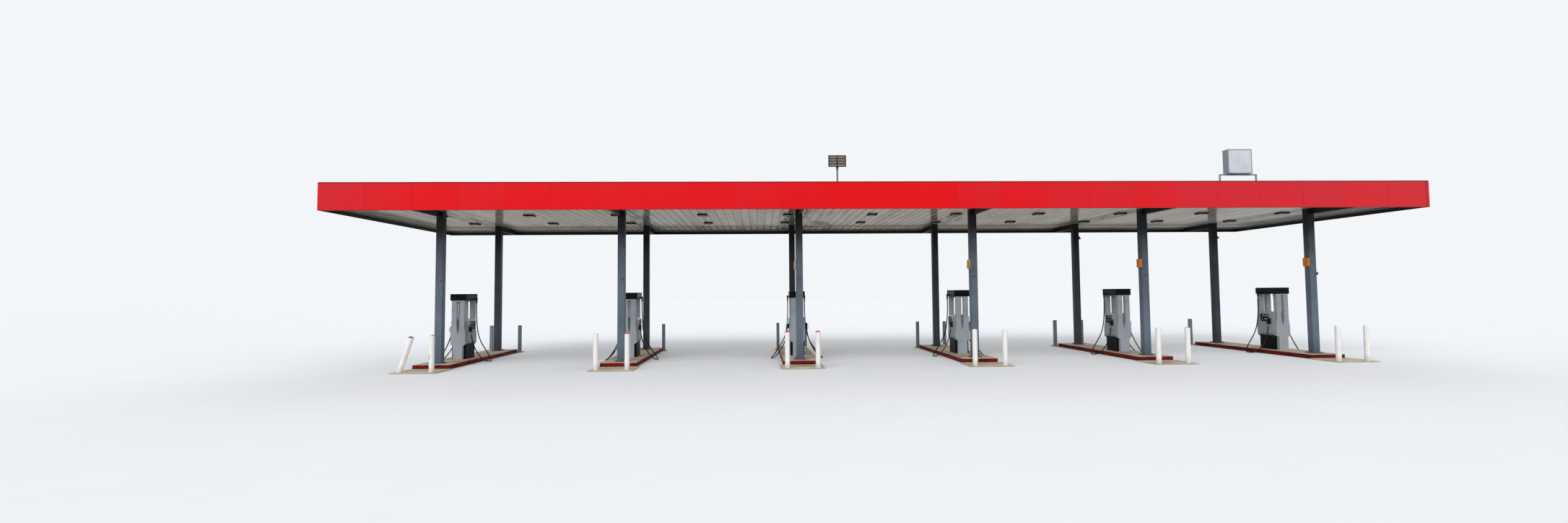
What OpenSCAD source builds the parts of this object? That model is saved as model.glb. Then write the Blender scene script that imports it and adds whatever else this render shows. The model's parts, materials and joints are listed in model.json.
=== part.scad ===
// Truck fuelling canopy: a flat deck on six pairs of box columns, with a panelled fascia all round
// and a raised pump island under each pair. +X runs along the canopy, +Y to the back, +Z up.
// The origin is on the ground, in the middle of the canopy.

/* [Column grid] */
// Spacing of the six column pairs along the canopy
pitch = 6400; // [5600:50:7200]
// Distance between the front and the back row of columns
row_gap = 5200; // [4600:50:6000]
// Deck beyond the first column pair, on the left
left_overhang = 3000; // [2000:50:3600]
// Deck beyond the last column pair, on the right
right_overhang = 2600; // [2000:50:3600]
// Deck beyond each row of columns, at the front and the back
end_overhang = 2050; // [1800:50:2400]

/* [Heights] */
// Bottom edge of the fascia above the ground
clear_height = 5340; // [4800:10:6000]
// Height of the fascia panels
fascia_h = 900; // [800:10:1200]
// How far the fascia hangs below the soffit
fascia_drop = 200; // [160:5:240]

/* [Columns] */
// Width of a box column
col_w = 254; // [200:2:320]
// Wall of a box column
col_wall = 10; // [6:1:16]
// Outer corner radius of a box column
col_r = 20; // [14:1:30]
// Width of a base plate
base_w = 400; // [380:10:480]
// Thickness of a base plate
base_t = 25; // [16:1:40]
// Diameter of an anchor rod
anchor_d = 24; // [16:1:32]

/* [Fascia] */
// Thickness of the fascia's face panel
fascia_t = 12; // [8:1:16]
// Depth of the fascia from its face to the back of its frame
fascia_depth = 60; // [50:1:90]
// Number of panels along the front and the back
long_panels = 25; // [15:1:30]
// Number of panels on each side
side_panels = 6; // [3:1:9]
// Width of the joint between two panels
panel_joint = 8; // [4:1:12]
// Sheet that closes the fascia's back below the soffit
closer_t = 6; // [3:1:10]
// Height of the cap on the fascia's top edge
cap_h = 25; // [15:1:40]
// Width of the cap on the fascia's top edge
cap_w = 90; // [80:1:120]

/* [Deck] */
// Width of one deck pan
pan_w = 305; // [250:1:410]
// Height of a deck pan's standing edge
pan_h = 75; // [50:1:100]
// Thickness of a deck pan's floor
pan_t = 8; // [6:1:12]
// Thickness of a standing edge
seam_t = 14; // [10:1:20]
// Width of the shadow joint between two pans, seen from below
pan_joint = 10; // [6:1:14]
// Depth of the shadow joint
pan_joint_deep = 4; // [2:0.5:5]
// Width of the gutter along the front and the back
gutter_w = 150; // [110:5:200]
// Sheet thickness of the gutter
gutter_t = 5; // [3:0.5:8]

/* [Steel frame] */
// Depth of a cross beam
beam_h = 305; // [250:5:360]
// Width of a cross beam's flanges
beam_w = 165; // [120:5:200]
// Flange thickness of a cross beam
beam_flange = 14; // [10:1:20]
// Web thickness of a cross beam
beam_web = 10; // [8:1:14]
// Depth of a purlin
purlin_h = 203; // [150:1:240]
// Width of a purlin's flanges
purlin_w = 102; // [80:1:140]
// Flange thickness of a purlin
purlin_flange = 10; // [6:1:14]
// Web thickness of a purlin
purlin_web = 8; // [6:1:12]
// Number of purlin lines across the deck
purlin_lines = 5; // [3:1:5]
// Width of an outrigger's flanges
outrigger_w = 130; // [100:5:160]

/* [Pump islands] */
// Width of a pump island
island_w = 1260; // [1100:10:1400]
// Height of a pump island
island_h = 150; // [120:5:200]
// How far an island runs beyond the columns, at each end
island_end = 590; // [500:10:800]
// Width of the concrete pad under the bollards and the rear posts
pad_w = 1500; // [1300:10:1560]
// Height of the pad above the ground
pad_h = 25; // [10:5:60]
// How far the pad runs past the bollards and the rear posts
pad_out = 250; // [200:10:400]
// Thickness of the steel kerb
kerb_t = 12; // [6:1:20]
// Diameter of a front bollard
bollard_d = 168; // [114:1:220]
// Height of a front bollard
bollard_h = 1235; // [900:10:1300]
// Distance between the two bollards of an island
bollard_gap = 1040; // [960:10:1040]
// Distance of the bollards in front of the front columns
bollard_out = 1600; // [1300:10:1700]
// Lean of the first bollard, which a vehicle has pushed over
bollard_lean = 18; // [0:1:22]
// Width of a rear post
post_w = 130; // [75:1:150]
// Height of a rear post
post_h = 1165; // [900:10:1300]
// Distance between the two rear posts of an island
post_gap = 1240; // [1100:10:1300]
// Distance of the rear posts behind the back columns
post_out = 900; // [850:10:1400]

/* [Dispensers] */
// Width of a dispenser, across the island
disp_w = 550; // [500:10:600]
// Length of a dispenser, along the island
disp_l = 1000; // [940:10:1200]
// Distance from the front columns' centre to the dispenser's front
disp_back = 1400; // [1000:10:1600]
// Height of the dispenser's base cabinet
disp_base_h = 570; // [450:5:650]
// Height of the dispenser's body
disp_body_h = 920; // [800:5:1000]
// Height of the open stretch between the body and the header
disp_open_h = 710; // [600:5:800]
// Thickness of the upright panel at each end of a dispenser
end_panel_t = 130; // [100:5:140]
// Width of the slot in the upright panels
slot_w = 110; // [80:5:140]
// How far the neck of the end panels stands back from their foot
neck_in = 40; // [20:1:60]
// Height of the stretch in which the foot of an end panel narrows to its neck
flare_h = 420; // [250:10:500]
// How far the foot of an end panel stands back from its widest place
foot_in = 95; // [40:5:120]
// How far the lower cabinet stands back from the edges of the end panels
cabinet_in = 15; // [8:1:25]
// How far the body bulges past the end panels on each lane side
pod_out = 30; // [10:1:36]
// Height of the header
header_h = 250; // [220:5:320]
// Width of the header
header_w = 590; // [560:5:640]
// Width of a display panel
display_w = 460; // [300:10:500]
// Height of a display panel
display_h = 300; // [200:10:340]
// Diameter of a fuel hose
hose_d = 38; // [26:1:42]

/* [Lighting and sign] */
// Width of a soffit light
light_w = 400; // [300:10:460]
// Width of a soffit light's flange and of the lip round its lens
light_lip = 30; // [15:1:50]
// Height of a soffit light
light_h = 50; // [40:1:80]
// Distance of the soffit lights from the column rows
light_in = 1150; // [900:10:1400]
// How far the row of soffit lights is shifted to the left of the columns' middle
light_shift = 300; // [0:10:400]
// How much the spacing of the soffit lights exceeds half that of the columns
light_spread = 50; // [0:5:60]
// Height of the floodlight above the purlin it stands on
flood_pole_h = 1060; // [900:10:1400]
// Width of the floodlight
flood_w = 610; // [500:10:700]
// Height of the floodlight
flood_h = 390; // [300:10:450]
// Distance of the floodlight's pole to the right of the third column line
flood_at = 1260; // [900:10:2000]
// Width and height of the roof sign
sign_w = 940; // [700:10:1100]
// Thickness of the roof sign
sign_t = 300; // [150:10:350]
// Width of the metal edge round the sign's faces
sign_edge = 30; // [20:1:50]
// Distance from the side of the sign to the centre of a leg
sign_leg_out = 245; // [100:5:300]
// Height of the roof sign's legs above the purlins they stand on
sign_leg_h = 1150; // [900:10:1300]
// Distance of the sign's centre to the right of the fifth column line
sign_at = 4190; // [3600:10:4600]
// Height of the amber boxes' centre above the ground
flag_z = 3540; // [2600:10:4000]
// Height of an amber box
flag_h = 320; // [240:10:400]
// Height of the alarm buttons on the front columns above the ground
alarm_z = 3110; // [1400:10:3200]
// Height of the small spotlights on the last two back columns above the ground
spot_z = 4920; // [4000:10:5100]

/* [Hidden] */
$fn = 32;
pairs = 6;
bays = pairs + 1;
length_x = (pairs - 1) * pitch + left_overhang + right_overhang;
depth_y = row_gap + 2 * end_overhang;
grid_off = (left_overhang - right_overhang) / 2;
soffit_z = clear_height + fascia_drop;
deck_top = soffit_z + pan_h;
fascia_top = clear_height + fascia_h;
in_x = length_x / 2 - fascia_depth;
in_y = depth_y / 2 - fascia_depth;
deck_y = in_y - gutter_w;
col_fit = 3;
row_y = row_gap / 2;
lip = 12;
strut_w = 48;
rail_h = 60;
ladder_gap = 2;
stiffener_t = 12;
nut_h = 20;
nut_d = 40;
anchor_in = 60;
island_l = row_gap + 2 * island_end;
disp_y = -row_y + disp_back + disp_l / 2;
purlin_edge = 550;
body_z = island_h + disp_base_h;
open_z = body_z + disp_body_h;
header_z = open_z + disp_open_h;
flare_down = 640;
flare_z = open_z - flare_down;
flare_steps = 10;
slot_head = 40;
pod_round = 90;
recess = 20;
panel_t = 12;
groove = 8;
// Route of a fuel hose beside a dispenser: out from its side, along it, and above the island top.
// It hangs from the outlet under the header, goes out over the kerb, lies on the paving in a loop
// and comes back over the kerb and up to the nozzle in its boot.
HOSE = [[60, 330, 2100], [60, 330, 1900], [64, 334, 1670], [72, 342, 1430], [86, 354, 1200],
    [110, 370, 980], [150, 390, 780], [215, 410, 590], [300, 425, 420], [400, 430, 260],
    [500, 415, 110], [595, 375, -20], [670, 300, -98], [715, 190, -122], [725, 60, -125],
    [690, -65, -120], [610, -155, -80], [515, -215, 10], [415, -250, 140], [320, -262, 290],
    [240, -255, 450], [175, -238, 620], [130, -215, 790], [110, -200, 920], [110, -200, 990]];
nozzle_at = HOSE[len(HOSE) - 1];
display_y = 60;
display_z = open_z - display_h - pod_round;
louvre_w = 160;
flange_t = 12;
pole_d = 60;
knuckle_w = 80;
knuckle_h = 120;
flood_t = 75;
flood_deep = 50;
flood_rows = 4;
bar_w = 20;
flood_cell_w = (flood_w - 3 * bar_w) / 2;
flood_cell_h = (flood_h - (flood_rows + 1) * bar_w) / flood_rows;
tube_w = 50;
flag_t = 60;
alarm_d = 120;
alarm_t = 20;
bracket_w = 30;
spot_out = 70;
spot_d = 90;
spot_tilt = 120;
nozzle_d = 46;
nozzle_h = 210;
spout_d = 26;
spout_turn = 125;
spout_reach = 0.8;
guard_t = 18;
guard_h = 150;
boot_w = 110;
boot_foot = 20;
boot_step = 40;
alarm_at = [50, 50, -40, -40, 40, 110];
outlet_d = 60;
outlet_up = 60;
hose_steps = 2;
hose_sides = 8;

// Point at t from 0 to 1 between b and c, on the smooth curve through a, b, c and d
function between(a, b, c, d, t) = 0.5 * ((2 * b) + (c - a) * t + (2 * a - 5 * b + 4 * c - d) * t * t
    + (3 * b - a - 3 * c + d) * t * t * t);
// The hand-set points with hose_steps points for each stretch between two of them
function smooth(p) = let (n = len(p) - 1) [for (i = [0 : n * hose_steps])
    let (j = min(floor(i / hose_steps), n - 1))
    between(p[max(j - 1, 0)], p[j], p[j + 1], p[min(j + 2, n)], i / hose_steps - j)];
// Direction of the curve at point i; both ends follow their own last stretch
function heading(p, i) = let (n = len(p) - 1, d = p[min(i + 1, n)] - p[max(i - 1, 0)])
    i == 0 || i == n ? [0, 0, sign(d[2])] : d / norm(d);
function line_x(k) = grid_off + (k - (pairs + 1) / 2) * pitch;
function purlin_y(j) = -(in_y - purlin_edge)
    + (j - 1) * 2 * (in_y - purlin_edge) / (purlin_lines - 1);

// Square with round corners, standing on its centre
module round_square(w, r) {
    square([w, w - 2 * r], center = true);
    square([w - 2 * r, w], center = true);
    for (sx = [-1, 1], sy = [-1, 1])
        translate([sx * (w / 2 - r), sy * (w / 2 - r)]) circle(r);
}

// Outline of an I section, with its bottom flange on the X axis
module i_outline(h, w, flange, web) {
    translate([-w / 2, 0]) square([w, flange]);
    translate([-w / 2, h - flange]) square([w, flange]);
    translate([-web / 2, flange]) square([web, h - 2 * flange]);
}

// I section along +Y from the origin
module i_beam_y(l, h, w, flange, web) {
    translate([0, l, 0]) rotate([90, 0, 0]) linear_extrude(l) i_outline(h, w, flange, web);
}

// I section along +X from the origin
module i_beam_x(l, h, w, flange, web) {
    rotate([90, 0, 90]) linear_extrude(l) i_outline(h, w, flange, web);
}

// One side of the fascia in its own frame: face towards -Y at y = 0, centred on X, mitred at its ends
module fascia_side(l, panels) {
    step = l / panels;
    difference() {
        intersection() {
            translate([-l / 2, 0, 0]) rotate([90, 0, 90]) linear_extrude(l) {
                square([fascia_t, fascia_h]);
                square([fascia_depth, lip]);
                translate([0, fascia_h - lip]) square([fascia_depth, lip]);
            }
            linear_extrude(fascia_h)
                polygon([[-l / 2, 0], [l / 2, 0], [l / 2 - fascia_depth, fascia_depth],
                    [-l / 2 + fascia_depth, fascia_depth]]);
        }
        for (i = [1 : panels - 1])
            translate([-l / 2 + i * step - panel_joint / 2, -1, -1])
                cube([panel_joint, fascia_t / 2 + 1, fascia_h + 2]);
    }
}

module front_fascia() {
    color("red") translate([0, -depth_y / 2, clear_height]) fascia_side(length_x, long_panels);
}

module back_fascia() {
    color("red") rotate([0, 0, 180]) translate([0, -depth_y / 2, clear_height])
        fascia_side(length_x, long_panels);
}

module left_fascia() {
    color("red") rotate([0, 0, -90]) translate([0, -length_x / 2, clear_height])
        fascia_side(depth_y, side_panels);
}

module right_fascia() {
    color("red") rotate([0, 0, 90]) translate([0, -length_x / 2, clear_height])
        fascia_side(depth_y, side_panels);
}

// Flat cap bar over one side of the fascia, mitred like it
module cap_side(l) {
    linear_extrude(cap_h)
        polygon([[-l / 2 + 1, 0], [l / 2 - 1, 0], [l / 2 - 1 - cap_w, cap_w],
            [-l / 2 + 1 + cap_w, cap_w]]);
}

module fascia_caps() {
    color("dimgray") translate([0, 0, fascia_top]) {
        for (a = [0, 180]) rotate([0, 0, a]) translate([0, -depth_y / 2, 0]) cap_side(length_x);
        for (a = [-90, 90]) rotate([0, 0, a]) translate([0, -length_x / 2, 0]) cap_side(depth_y);
    }
}

// Ladder frame behind one side of the fascia, with a strut at each given place and a sheet that
// closes its back below the soffit
module ladder(l, places) {
    t = fascia_depth - fascia_t;
    for (z = [lip, fascia_h - lip - rail_h])
        translate([-l / 2, 0, z]) cube([l, t, rail_h]);
    translate([-l / 2, 0, fascia_drop - rail_h / 2]) cube([l, t, rail_h]);
    translate([-l / 2, t - closer_t, lip]) cube([l, closer_t, fascia_drop - lip]);
    for (x = places)
        translate([x - strut_w / 2, 0, lip]) cube([strut_w, t, fascia_h - 2 * lip]);
}

module fascia_frames() {
    long_l = length_x - 2 * fascia_depth;
    side_l = depth_y - 2 * (fascia_depth + ladder_gap);
    half = [for (k = [1 : 0.5 : pairs]) line_x(k)];
    side = [for (j = [1 : purlin_lines]) purlin_y(j)];
    color("gray") translate([0, 0, clear_height]) {
        translate([0, -depth_y / 2 + fascia_t, 0]) ladder(long_l, half);
        mirror([0, 1, 0]) translate([0, -depth_y / 2 + fascia_t, 0]) ladder(long_l, half);
        for (a = [-90, 90]) rotate([0, 0, a])
            translate([0, -length_x / 2 + fascia_t, 0]) ladder(side_l, side);
    }
}

// Deck pans from x0 to x1, with standing edges above and shadow joints below
module deck_pans(x0, x1) {
    count = max(1, round((x1 - x0) / pan_w));
    step = (x1 - x0) / count;
    difference() {
        translate([0, deck_y, soffit_z]) rotate([90, 0, 0]) linear_extrude(2 * deck_y)
            difference() {
                union() {
                    translate([x0, 0]) square([x1 - x0, pan_t]);
                    for (i = [0 : count])
                        translate([min(max(x0 + i * step - seam_t / 2, x0), x1 - seam_t), 0])
                            square([seam_t, pan_h]);
                }
                for (i = [0 : count])
                    translate([x0 + i * step - pan_joint / 2, -1])
                        square([pan_joint, pan_joint_deep + 1]);
            }
        for (k = [1 : pairs], s = [-1, 1])
            translate([line_x(k), s * row_y, soffit_z])
                cube([col_w + 2 * col_fit, col_w + 2 * col_fit, 3 * pan_h], center = true);
    }
}

module deck_bay(b) {
    x0 = b == 1 ? -in_x : line_x(b - 1);
    x1 = b == bays ? in_x : line_x(b);
    color("lightgray") deck_pans(x0, x1);
}

// Open gutter at the ends of the pans
module gutters() {
    color("silver") for (s = [-1, 1])
        translate([-in_x, s < 0 ? -in_y : deck_y, soffit_z]) difference() {
            cube([2 * in_x, gutter_w, pan_h]);
            translate([gutter_t, gutter_t, gutter_t])
                cube([2 * in_x - 2 * gutter_t, gutter_w - 2 * gutter_t, pan_h + 1]);
        }
}

module cross_beams() {
    color("slategray") for (k = [1 : pairs]) translate([line_x(k), 0, deck_top]) {
        translate([0, -in_y, 0]) i_beam_y(2 * in_y, beam_h, beam_w, beam_flange, beam_web);
        for (j = [1 : purlin_lines])
            translate([-beam_w / 2, purlin_y(j) - stiffener_t / 2, beam_flange / 2])
                cube([beam_w, stiffener_t, beam_h - beam_flange]);
    }
}

module purlins() {
    color("slategray") for (j = [1 : purlin_lines], b = [1 : bays]) {
        x0 = b == 1 ? -in_x : line_x(b - 1) + beam_w / 2;
        x1 = b == bays ? in_x : line_x(b) - beam_w / 2;
        translate([x0, purlin_y(j), deck_top])
            i_beam_x(x1 - x0, purlin_h, purlin_w, purlin_flange, purlin_web);
    }
}

// Stub beams under the deck, from the columns out to the fascia
module outriggers(s) {
    y0 = row_y + col_w / 2;
    color("dimgray") for (k = [1 : pairs]) translate([line_x(k), s < 0 ? -in_y : y0, clear_height])
        i_beam_y(in_y - y0, fascia_drop, outrigger_w, purlin_flange, purlin_web);
}

module front_outriggers() { outriggers(-1); }

module back_outriggers() { outriggers(1); }

// Box column on its base plate, from the island up to the cross beam
module column(k, s) {
    color("lightslategray") translate([line_x(k), s * row_y, island_h]) {
        difference() {
            union() {
                linear_extrude(base_t) square(base_w, center = true);
                linear_extrude(deck_top - island_h) round_square(col_w, col_r);
            }
            translate([0, 0, base_t]) linear_extrude(deck_top - island_h - base_t - lip)
                round_square(col_w - 2 * col_wall, col_r - col_wall);
        }
        for (sx = [-1, 1], sy = [-1, 1])
            translate([sx * (base_w / 2 - anchor_in + nut_d / 4), sy * (base_w / 2 - anchor_in + nut_d / 4),
                base_t]) {
                cylinder(d = nut_d, h = nut_h, $fn = 6);
                cylinder(d = anchor_d, h = 2 * nut_h);
            }
    }
}

module pump_islands() {
    color("tan") for (k = [1 : pairs]) translate([line_x(k), 0, island_h / 2])
        cube([island_w - 2 * kerb_t, island_l - 2 * kerb_t, island_h], center = true);
}

// Low pads that carry the bollards and the rear posts, cast against the ends of the islands
module island_pads() {
    front_l = row_y + bollard_out + pad_out - island_l / 2;
    rear_l = row_y + post_out + pad_out - island_l / 2;
    color("tan") for (k = [1 : pairs]) {
        translate([line_x(k) - pad_w / 2, -island_l / 2 - front_l, 0]) cube([pad_w, front_l, pad_h]);
        translate([line_x(k) - pad_w / 2, island_l / 2, 0]) cube([pad_w, rear_l, pad_h]);
    }
}

module island_kerbs() {
    color("darkred") for (k = [1 : pairs]) translate([line_x(k), 0, 0]) linear_extrude(island_h)
        difference() {
            square([island_w, island_l], center = true);
            square([island_w - 2 * kerb_t, island_l - 2 * kerb_t], center = true);
        }
}

// Steel pipe filled with concrete, rounded off at the top
module bollard(lean) {
    intersection() {
        rotate([0, lean, 0]) rotate_extrude() {
            translate([0, -bollard_d]) square([bollard_d / 2, bollard_h + bollard_d * 3 / 4]);
            translate([0, bollard_h - bollard_d / 4]) intersection() {
                scale([1, 0.5]) circle(d = bollard_d, $fn = 48);
                square(bollard_d);
            }
        }
        translate([-bollard_h, -bollard_h, 0]) cube([2 * bollard_h, 2 * bollard_h, 2 * bollard_h]);
    }
}

module front_bollards() {
    color("white") for (k = [1 : pairs], s = [-1, 1])
        translate([line_x(k) + s * bollard_gap / 2, -row_y - bollard_out, pad_h])
            bollard(k == 1 && s < 0 ? bollard_lean : 0);
}

module rear_posts() {
    color("lightslategray") for (k = [1 : pairs], s = [-1, 1])
        translate([line_x(k) + s * post_gap / 2, row_y + post_out, pad_h])
            linear_extrude(post_h) square(post_w, center = true);
}

// Places the children on every dispenser, with its centre on the Z axis
module at_dispensers() {
    for (k = [1 : pairs]) translate([line_x(k), disp_y, 0]) children();
}

// Black lower cabinet with a door joint and three louvres on each lane side
module dispenser_bases() {
    w = disp_w - 2 * cabinet_in;
    color("black") at_dispensers() difference() {
        translate([-w / 2, -disp_l / 2 + end_panel_t, island_h])
            cube([w, disp_l - 2 * end_panel_t, disp_base_h]);
        for (s = [-1, 1]) {
            translate([s * w / 2 - groove, -groove / 2, island_h + kerb_t])
                cube([2 * groove, groove, disp_base_h - 2 * kerb_t]);
            for (y = [-1, 1], i = [0 : 2])
                translate([s * w / 2 - groove, y * disp_l / 5 - louvre_w / 2,
                    island_h + disp_base_h / 4 + i * 3 * groove])
                    cube([2 * groove, louvre_w, groove]);
        }
    }
}

// Smooth step from 0 to 1, half a cosine wave
function ease(t) = (1 - cos(180 * t)) / 2;
// Curve from [x0, z0] to [x1, z1] that leaves and arrives upright
function bell(x0, z0, x1, z1) = [for (i = [0 : flare_steps])
    let (t = i / flare_steps) [x0 + (x1 - x0) * ease(t), z0 + (z1 - z0) * t]];
function mirrored(p) = [for (i = [len(p) - 1 : -1 : 0]) [-p[i][0], p[i][1]]];

// Upright end panel seen from the island's end: a foot in front of the lower cabinet, which widens
// to the body and narrows again to a neck, and a slot that runs out to a point between the two
// halves of the neck
module end_panel_outline() {
    foot = flare_z - island_h;
    neck = foot + flare_h;
    top = header_z - island_h;
    side = concat([[disp_w / 2 - foot_in, 0]],
        bell(disp_w / 2 - foot_in, disp_base_h - pod_round, disp_w / 2, disp_base_h),
        bell(disp_w / 2, foot, disp_w / 2 - neck_in, neck), [[disp_w / 2 - neck_in, top]]);
    edge = concat(bell(0, foot, slot_w / 2, neck), [[slot_w / 2, top - slot_head]]);
    difference() {
        polygon(concat(side, mirrored(side)));
        polygon(concat(edge, mirrored(edge)));
    }
}

// Section of the body across the island: it bulges past the end panels on both lane sides
module body_outline() {
    foot = disp_w / 2 - cabinet_in;
    pod = disp_w / 2 + pod_out;
    side = concat(bell(foot, 0, pod, pod_round),
        bell(pod, disp_body_h - pod_round, disp_w / 2 - neck_in, disp_body_h));
    polygon(concat(side, mirrored(side)));
}

// Light grey end panels, and between them the body with its display recess on each lane side
module dispenser_bodies() {
    l = disp_l - 2 * end_panel_t;
    color("lightgray") at_dispensers() {
        for (s = [-1, 1])
            translate([0, s * (disp_l - end_panel_t) / 2 + end_panel_t / 2, island_h])
                rotate([90, 0, 0]) linear_extrude(end_panel_t) end_panel_outline();
        difference() {
            translate([0, l / 2, body_z]) rotate([90, 0, 0]) linear_extrude(l) body_outline();
            for (s = [-1, 1])
                translate([s * (disp_w / 2 + pod_out) - recess, display_y - display_w / 2, display_z])
                    cube([2 * recess, display_w, display_h]);
        }
    }
}

// Dark display panel set in each recess
module dispenser_panels() {
    color("dimgray") at_dispensers() for (s = [-1, 1]) mirror([s < 0 ? 1 : 0, 0, 0])
        translate([disp_w / 2 + pod_out - recess, display_y - display_w / 2, display_z])
            cube([panel_t, display_w, display_h]);
}

// Black header with a recessed panel on each lane side
module dispenser_headers() {
    color("black") at_dispensers() difference() {
        translate([-header_w / 2, -disp_l / 2, header_z]) cube([header_w, disp_l, header_h]);
        for (s = [-1, 1])
            translate([s * header_w / 2 - groove, -disp_l / 2 + 2 * groove, header_z + header_h / 4])
                cube([2 * groove, disp_l - 4 * groove, header_h / 2]);
    }
}

// Nozzle that stands in its boot on the body's lane side, with the hose on its lower end
module nozzle() {
    x = nozzle_at[0];
    z = nozzle_at[2];
    top = z + nozzle_h;
    lip_x = x - nozzle_d / 2;
    translate([0, boot_w / 2, 0]) rotate([90, 0, 0]) linear_extrude(boot_w)
        polygon([[pod_out, z + boot_foot], [lip_x - boot_step, z + boot_foot],
            [lip_x, z + boot_foot + boot_step], [lip_x, top - boot_step],
            [lip_x - boot_step, top + boot_step], [pod_out, top + boot_step]]);
    translate([x, 0, z]) cylinder(d = nozzle_d, h = nozzle_h);
    translate([x, 0, top]) sphere(d = nozzle_d);
    translate([x, 0, top]) rotate([0, -spout_turn, 0])
        cylinder(d = spout_d, h = (x - pod_out) * spout_reach);
    translate([x, guard_t / 2, z + spout_d]) rotate([90, 0, 0]) linear_extrude(guard_t)
        difference() {
            guard_outline(0);
            guard_outline(guard_t / 2);
        }
}

// Outline of the hand guard, drawn in by a given margin
module guard_outline(margin) {
    translate([0, margin]) square([nozzle_d - margin, guard_h - 2 * margin]);
    translate([nozzle_d - margin, guard_h / 2]) intersection() {
        circle(r = guard_h / 2 - margin);
        translate([0, -guard_h / 2]) square([nozzle_d / 2, guard_h]);
    }
}

module nozzles() {
    color("dimgray") translate([0, 0, island_h]) at_dispensers() for (s = [-1, 1])
        mirror([s < 0 ? 1 : 0, 0, 0]) translate([disp_w / 2, nozzle_at[1], 0]) nozzle();
}

// Swivel elbow on the header's side, from which a hose hangs
module hose_outlets() {
    out = disp_w / 2 + HOSE[0][0];
    top = header_z - island_h + outlet_up;
    color("dimgray") for (k = [1 : pairs], s = [-1, 1])
        translate([line_x(k), disp_y + HOSE[0][1], island_h]) mirror([s < 0 ? 1 : 0, 0, 0]) {
            translate([out, 0, HOSE[0][2]]) cylinder(d = outlet_d, h = top - HOSE[0][2]);
            translate([header_w / 2, 0, top]) rotate([0, 90, 0])
                cylinder(d = outlet_d, h = out + outlet_d / 2 - header_w / 2);
        }
}

// Fuel hose on side s of dispenser k, swept along its route
module hose(k, s) {
    path = smooth(HOSE);
    rings = len(path);
    points = [for (i = [0 : rings - 1], a = [0 : hose_sides - 1])
        let (t = heading(path, i), v = cross(t, [1, 0, 0]), w = v / norm(v), u = cross(w, t),
            turn = 360 * a / hose_sides)
        path[i] + hose_d / 2 * (cos(turn) * u + sin(turn) * w)];
    walls = [for (i = [0 : rings - 2], a = [0 : hose_sides - 1])
        let (b = (a + 1) % hose_sides)
        [i * hose_sides + a, i * hose_sides + b, (i + 1) * hose_sides + b, (i + 1) * hose_sides + a]];
    first = [for (a = [hose_sides - 1 : -1 : 0]) a];
    last = [for (a = [0 : hose_sides - 1]) (rings - 1) * hose_sides + a];
    color("black") translate([line_x(k), disp_y, island_h]) mirror([s < 0 ? 1 : 0, 0, 0])
        translate([disp_w / 2, 0, 0]) polyhedron(points = points, faces = concat([first, last], walls));
}

// Square soffit light: a flange against the pans, a smaller body and a recessed lens
module soffit_lights() {
    body_w = light_w - 2 * light_lip;
    lens_w = body_w - 2 * light_lip;
    step = pitch / 2 + light_spread;
    color("dimgray") for (i = [1 - pairs : pairs - 1], s = [-1, 1])
        translate([grid_off + i * step - light_shift, s * (row_y - light_in), soffit_z]) difference() {
            union() {
                translate([0, 0, -flange_t / 2]) cube([light_w, light_w, flange_t], center = true);
                translate([0, 0, -light_h / 2]) cube([body_w, body_w, light_h], center = true);
            }
            translate([0, 0, -light_h]) cube([lens_w, lens_w, light_h / 2], center = true);
        }
}

// Floodlight on its pole: an open frame with louvre bars, held by a knuckle
module floodlight() {
    z0 = flood_pole_h;
    color("black") translate([line_x(3) + flood_at, purlin_y(1), deck_top + purlin_h]) {
        translate([0, 0, purlin_flange / 2]) cube([purlin_w, purlin_w, purlin_flange], center = true);
        cylinder(d = pole_d, h = z0 - knuckle_h);
        translate([0, 0, z0 - knuckle_h]) cylinder(d = knuckle_w, h = knuckle_h / 2);
        translate([0, flood_t / 2, z0 - knuckle_h / 4]) rotate([90, 0, 0])
            cylinder(d = knuckle_w, h = flood_t);
        difference() {
            translate([-flood_w / 2, -flood_t / 2, z0]) cube([flood_w, flood_t, flood_h]);
            for (sx = [-1, 1], i = [0 : flood_rows - 1])
                translate([sx * (flood_w / 4 - bar_w / 4) - flood_cell_w / 2, -flood_t / 2 - 1,
                    z0 + bar_w + i * (flood_cell_h + bar_w)])
                    cube([flood_cell_w, flood_deep + 1, flood_cell_h]);
        }
    }
}

// Two legs and two rails, and the metal edge round the sign cabinet
module sign_frame() {
    leg_x = sign_w / 2 + sign_leg_out;
    color("silver") translate([line_x(5) + sign_at, purlin_y(2), deck_top + purlin_h]) {
        for (s = [-1, 1]) translate([s * leg_x, 0, sign_leg_h / 2])
            cube([tube_w, tube_w, sign_leg_h], center = true);
        for (z = [sign_leg_h - tube_w / 2, sign_leg_h / 2])
            translate([0, 0, z]) cube([2 * leg_x + tube_w, tube_w, tube_w], center = true);
        translate([0, 0, sign_leg_h + sign_w / 2]) difference() {
            cube([sign_w, sign_t, sign_w], center = true);
            cube([sign_w - 2 * sign_edge, sign_t + 2, sign_w - 2 * sign_edge], center = true);
        }
    }
}

// Plain box whose two faces lie a little behind the metal edge
module sign_cabinet() {
    color("white") translate([line_x(5) + sign_at, purlin_y(2), deck_top + purlin_h + sign_leg_h])
        translate([0, 0, sign_w / 2])
            cube([sign_w - 2 * sign_edge, sign_t - 2 * groove, sign_w - 2 * sign_edge], center = true);
}

// Flat amber box on the left face of the front columns 3 to 6
module flag_boxes() {
    color("orange") for (k = [3 : pairs])
        translate([line_x(k) - col_w / 2 - flag_t / 2, -row_y, flag_z])
            cube([flag_t, col_w, flag_h], center = true);
}

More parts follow.
